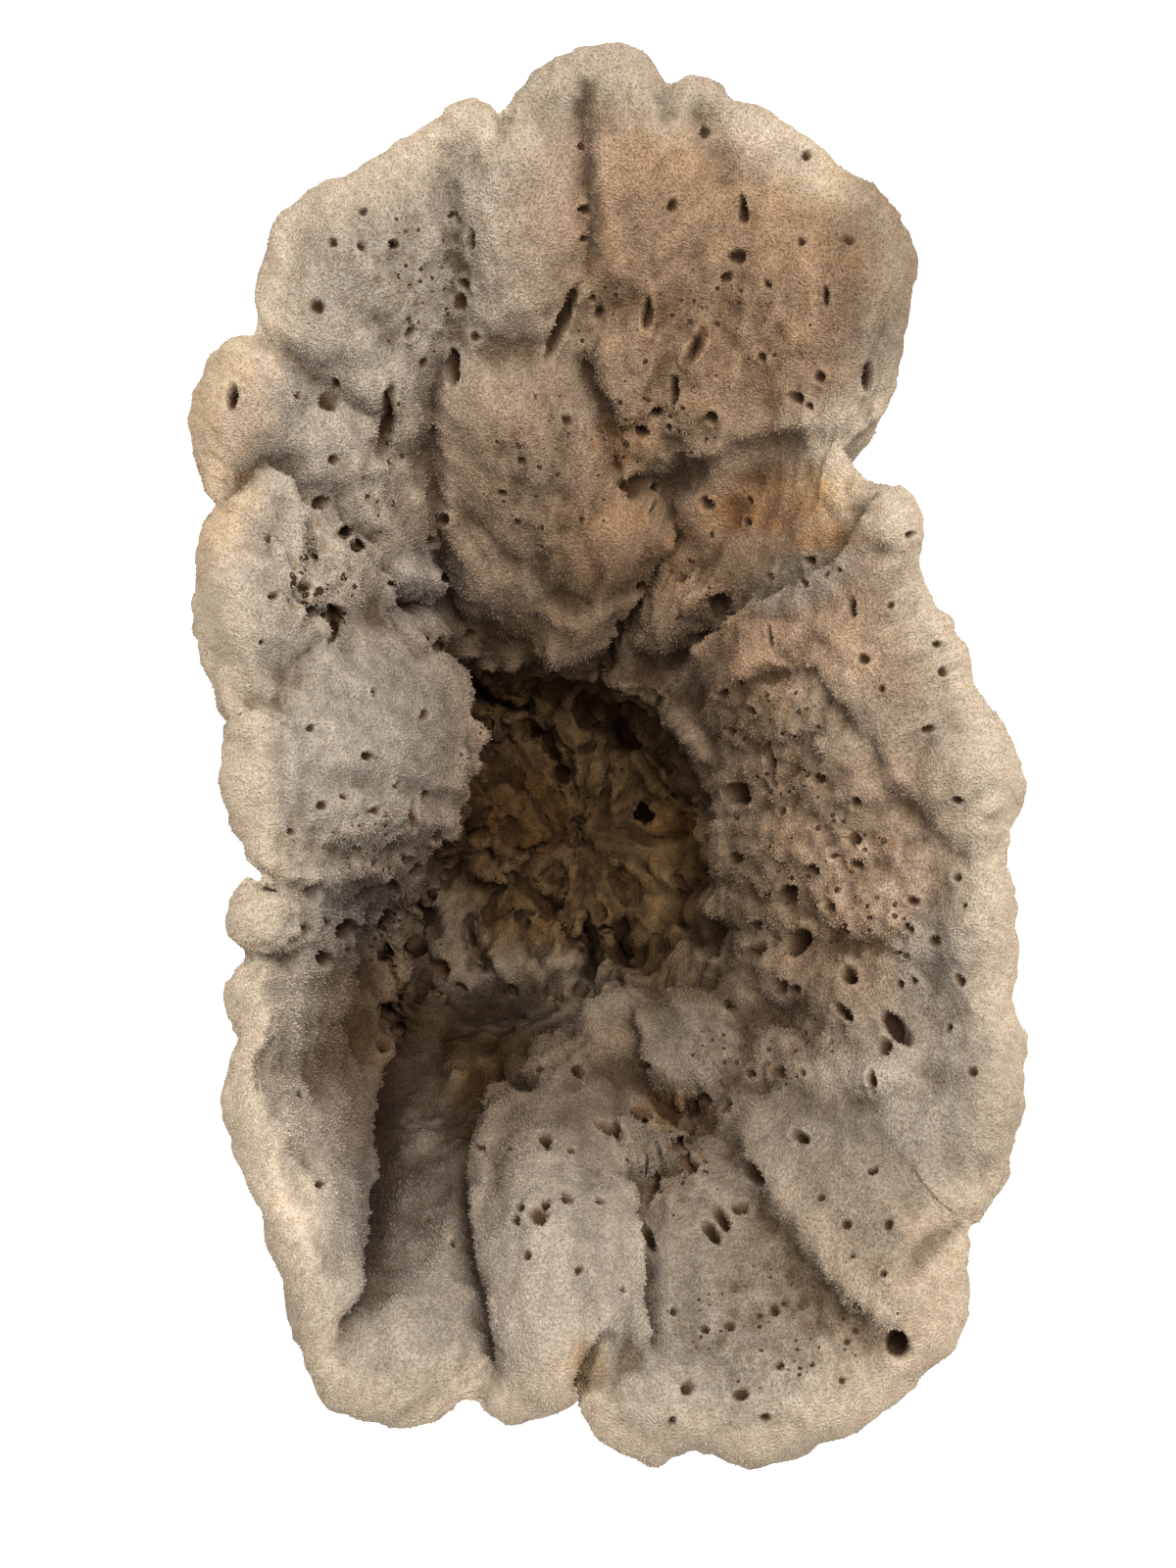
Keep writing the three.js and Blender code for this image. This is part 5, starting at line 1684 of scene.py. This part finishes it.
@dataclass(frozen=True)
class FibreFinish:
    """Fine fibres, darker at the root and lighter at the tip than the tissue below them: painted shade and
    painted light.
    """

    name: str = "fine fibres"
    tissue: TissueFinish = TissueFinish()

    def make(self) -> bpy.types.Material:
        """Return the fibres' material."""
        shader = Shader(self.name, roughness=0.9)
        colour = self.tissue.tissue_colour(shader)
        # Painted shade at the roots among the fibres and painted light on their tips
        colour = shader.dim(colour, 0.65 + 0.8 * shader.mask("tip"))
        return shader.finish(colour, None, 0.0)


@dataclass(frozen=True)
class FloorFinish:
    """Plain near-white floor."""

    name: str = "studio floor"
    colour: Colour = (0.93, 0.93, 0.93)
    glow: float = 0.4

    def make(self) -> bpy.types.Material:
        """Return the floor's material."""
        shader = Shader(self.name, roughness=0.9)
        shader.surface.inputs["Emission Color"].default_value = (1.0, 1.0, 1.0, 1.0)
        shader.surface.inputs["Emission Strength"].default_value = self.glow
        return shader.finish(self.colour, None, 0.0)


@dataclass
class FibrePile:
    """Short fibres that stand all over one part of the skin.

    There are density fibres to a square mm where the mask is 1. Length and width are in mm. Lean is how far a
    fibre may lean, as the slope's tangent, and sizes are the least and the greatest scale of a fibre.
    """

    name: str
    mask: str
    density: float
    length: float = 0.36
    width: float = 0.26
    lean: float = 0.45
    sizes: Pair = (0.55, 1.35)
    seed: int = 1

    def build_tree(self, material: bpy.types.Material) -> bpy.types.NodeTree:
        """Make the node tree that grows the fibres.

        Args:
            material: Finish of the fibres.

        Returns:
            The tree, with its sizes as named inputs.
        """
        tree = bpy.data.node_groups.new(f"grow {self.name}", "GeometryNodeTree")
        face = tree.interface
        face.new_socket("Geometry", in_out="INPUT", socket_type="NodeSocketGeometry")
        for name in ("Density", "Length", "Width", "Lean"):
            face.new_socket(name, in_out="INPUT", socket_type="NodeSocketFloat")
        face.new_socket("Seed", in_out="INPUT", socket_type="NodeSocketInt")
        face.new_socket("Geometry", in_out="OUTPUT", socket_type="NodeSocketGeometry")
        nodes = Nodes(tree)
        given = nodes.add("NodeGroupInput", {}, {}).outputs
        mask = nodes.add("GeometryNodeInputNamedAttribute", {"data_type": "FLOAT"}, {"Name": self.mask})
        density = nodes.add(
            "ShaderNodeMath", {"operation": "MULTIPLY"}, {0: given["Density"], 1: mask.outputs[0]})
        spread = nodes.add(
            "GeometryNodeDistributePointsOnFaces", {"distribute_method": "RANDOM"},
            {"Mesh": given["Geometry"], "Density": density.outputs[0], "Seed": given["Seed"]})
        shake = nodes.add(
            "FunctionNodeRandomValue", {"data_type": "FLOAT_VECTOR"},
            {0: (-1.0, -1.0, -1.0), 1: (1.0, 1.0, 1.0), "Seed": given["Seed"]})
        leant = nodes.add(
            "ShaderNodeVectorMath", {"operation": "SCALE"}, {0: shake.outputs[0], "Scale": given["Lean"]})
        way = nodes.add(
            "ShaderNodeVectorMath", {"operation": "ADD"}, {0: spread.outputs["Normal"], 1: leant.outputs[0]})
        straight = nodes.add("ShaderNodeVectorMath", {"operation": "NORMALIZE"}, {0: way.outputs[0]})
        aim = nodes.add("FunctionNodeAlignRotationToVector", {"axis": "Z"}, {"Vector": straight.outputs[0]})
        size = nodes.add(
            "FunctionNodeRandomValue", {"data_type": "FLOAT"},
            {2: self.sizes[0], 3: self.sizes[1], "Seed": given["Seed"]})
        half = nodes.add("ShaderNodeMath", {"operation": "MULTIPLY"}, {0: given["Width"], 1: 0.5})
        spike = nodes.add(
            "GeometryNodeMeshCone", {"fill_type": "NGON"},
            {"Vertices": 3, "Side Segments": 1, "Radius Top": 0.0, "Radius Bottom": half.outputs[0],
             "Depth": given["Length"]})
        where = nodes.add("GeometryNodeInputPosition", {}, {})
        split = nodes.add("ShaderNodeSeparateXYZ", {}, {0: where.outputs[0]})
        share = nodes.add(
            "ShaderNodeMath", {"operation": "DIVIDE"}, {0: split.outputs[2], 1: given["Length"]})
        marked = nodes.add(
            "GeometryNodeStoreNamedAttribute", {"data_type": "FLOAT", "domain": "POINT"},
            {"Geometry": spike.outputs["Mesh"], "Name": "tip", "Value": share.outputs[0]})
        placed = nodes.add(
            "GeometryNodeInstanceOnPoints", {},
            {"Points": spread.outputs["Points"], "Instance": marked.outputs[0], "Rotation": aim.outputs[0],
             "Scale": size.outputs[1]})
        real = nodes.add("GeometryNodeRealizeInstances", {}, {"Geometry": placed.outputs[0]})
        dressed = nodes.add(
            "GeometryNodeSetMaterial", {}, {"Geometry": real.outputs[0], "Material": material})
        nodes.add("NodeGroupOutput", {}, {0: dressed.outputs[0]})
        return tree

    def build(self, skin: bpy.types.Object, material: bpy.types.Material) -> bpy.types.Object:
        """Grow the fibres on a skin.

        Args:
            skin: The skin, which keeps its own mesh.
            material: Finish of the fibres.

        Returns:
            The fibres as one plain mesh object.
        """
        grower = add_object(f"{self.name} grower", skin.data)
        modifier = grower.modifiers.new("grow", "NODES")
        modifier.node_group = self.build_tree(material)
        sizes = {
            "Density": self.density * 1e6,
            "Length": self.length * MILLIMETRE,
            "Width": self.width * MILLIMETRE,
            "Lean": self.lean,
            "Seed": self.seed,
        }
        for item in modifier.node_group.interface.items_tree:
            if item.in_out == "INPUT" and item.name in sizes:
                modifier[item.identifier] = sizes[item.name]
        graph = bpy.context.evaluated_depsgraph_get()
        mesh = bpy.data.meshes.new_from_object(grower.evaluated_get(graph), depsgraph=graph)
        bpy.data.objects.remove(grower)
        mesh.name = self.name
        return add_object(self.name, mesh)


@dataclass
class Sponge:
    """The sponge: its skin and the fibres on it, with the lines in metres that part the piles."""

    skin: SpongeSkin = field(default_factory=SpongeSkin)
    piles: tuple[FibrePile, ...] = (
        FibrePile("fibres_far", "pile_far", 2.9, seed=1),
        FibrePile("fibres_left", "pile_left", 2.9, seed=2),
        FibrePile("fibres_right", "pile_right", 2.9, seed=3),
        FibrePile("fibres_near", "pile_near", 2.9, seed=4),
        FibrePile("fibres_outside", "pile_outside", 0.9, seed=5, length=0.5),
    )
    far_line: float = 0.040
    near_line: float = -0.045
    side_line: float = -0.01
    outside_foot: float = 0.008

    def mark_piles(self, mesh: bpy.types.Mesh) -> None:
        """Store where each pile of fibres grows.

        Args:
            mesh: The skin's mesh.
        """
        x, y, z = read_vectors(mesh.vertices, "co", len(mesh.vertices)).T
        outside = read_values(mesh, "outside") > 0
        off_canals = 1 - smooth(read_values(mesh, "hole"), 0.0, 0.1)
        off_floor = 1 - smooth(read_values(mesh, "depth"), 0.5, 0.8)
        seen = smooth(read_values(mesh, "facing"), 0.05, 0.4)
        inside = np.where(outside, 0, off_canals * off_floor * seen)
        far = y > self.far_line
        near = y <= self.near_line
        left = x < self.side_line
        write_values(mesh, "pile_far", inside * far)
        write_values(mesh, "pile_left", inside * ~(far | near) * left)
        write_values(mesh, "pile_right", inside * ~(far | near) * ~left)
        write_values(mesh, "pile_near", inside * near)
        write_values(mesh, "pile_outside", outside * (z > self.outside_foot))

    def build(self) -> list[bpy.types.Object]:
        """Make and dress the pieces, and say what each belongs to."""
        skin = self.skin.build()
        skin.data.materials.append(TissueFinish().make())
        self.mark_piles(skin.data)
        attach(skin, "root")
        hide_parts("sponge")
        pieces = [skin]
        finish = FibreFinish().make()
        for pile in self.piles:
            fibres = pile.build(skin, finish)
            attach(fibres, "root")
            pieces.append(fibres)
        return pieces


@dataclass(frozen=True)
class Lamp:
    """A soft square lamp: its place and its side in metres, and its power in watts."""

    name: str
    place: tuple[float, float, float]
    side: float
    power: float


def towards(way: Vector) -> Euler:
    """Return the turn of a lamp or a camera that looks along a way."""
    return way.to_track_quat("-Z", "Y").to_euler()


@dataclass
class Studio:
    """Pale floor, soft lights and the camera at the eye of the plan, in metres."""

    middle: np.ndarray
    plan_height: float = 1600.0
    sensor: float = 36.0
    nearest: float = 0.01
    farthest: float = 20.0
    half_floor: float = 3.0
    lamps: tuple[Lamp, ...] = (
        Lamp("key", (0.3, 0.35, 1.15), 0.8, 22.0),
        Lamp("overhead", (-0.1, 0.1, 1.3), 1.4, 15.0),
    )
    lit: tuple[float, float, float] = (0.0, 0.0, 0.05)
    room_strength: float = 0.5

    def build(self) -> None:
        """Make the floor, the lights and the camera."""
        self.lay_floor()
        self.light()
        self.set_camera()

    def lay_floor(self) -> None:
        """Make the floor."""
        half = self.half_floor
        mesh = bpy.data.meshes.new("studio_floor")
        corners = [(-half, -half, 0.0), (half, -half, 0.0), (half, half, 0.0), (-half, half, 0.0)]
        mesh.from_pydata(corners, [], [(0, 1, 2, 3)])
        mesh.materials.append(FloorFinish().make())
        add_object("studio_floor", mesh)

    def light(self) -> None:
        """Make the soft lamps and the even light of the room."""
        for lamp in self.lamps:
            data = bpy.data.lights.new(lamp.name, "AREA")
            data.size = lamp.side
            data.energy = lamp.power
            item = add_object(lamp.name, data)
            item.location = lamp.place
            item.rotation_euler = towards(Vector(self.lit) - Vector(lamp.place))
        world = bpy.data.worlds.new("room")
        world.use_nodes = True
        background = world.node_tree.nodes["Background"]
        background.inputs["Color"].default_value = (1.0, 1.0, 1.0, 1.0)
        background.inputs["Strength"].default_value = self.room_strength
        bpy.context.scene.world = world
        bpy.context.scene.view_settings.view_transform = "Standard"

    def set_camera(self) -> None:
        """Put the camera at the eye of the plan."""
        camera = bpy.data.cameras.new("camera")
        camera.sensor_fit = "VERTICAL"
        camera.sensor_height = self.sensor
        camera.lens = self.sensor * PLAN.distance / UNIT / self.plan_height
        camera.clip_start = self.nearest
        camera.clip_end = self.farthest
        item = add_object("camera", camera)
        item.location = Vector(PLAN.eye * MILLIMETRE - self.middle)
        item.rotation_euler = towards(Vector(PLAN.forward))
        bpy.context.scene.camera = item


def main() -> None:
    """Load the frame, build the sponge and the studio, and note the sizes."""
    logging.basicConfig(level=logging.INFO, format="%(name)s: %(message)s")
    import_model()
    noise.seed_set(NOISE_SEED)
    sponge = Sponge()
    for piece in sponge.build():
        log.info("%s: %d triangles", piece.name, len(piece.data.polygons))
    Studio(sponge.skin.middle).build()


if __name__ == "__main__":
    main()
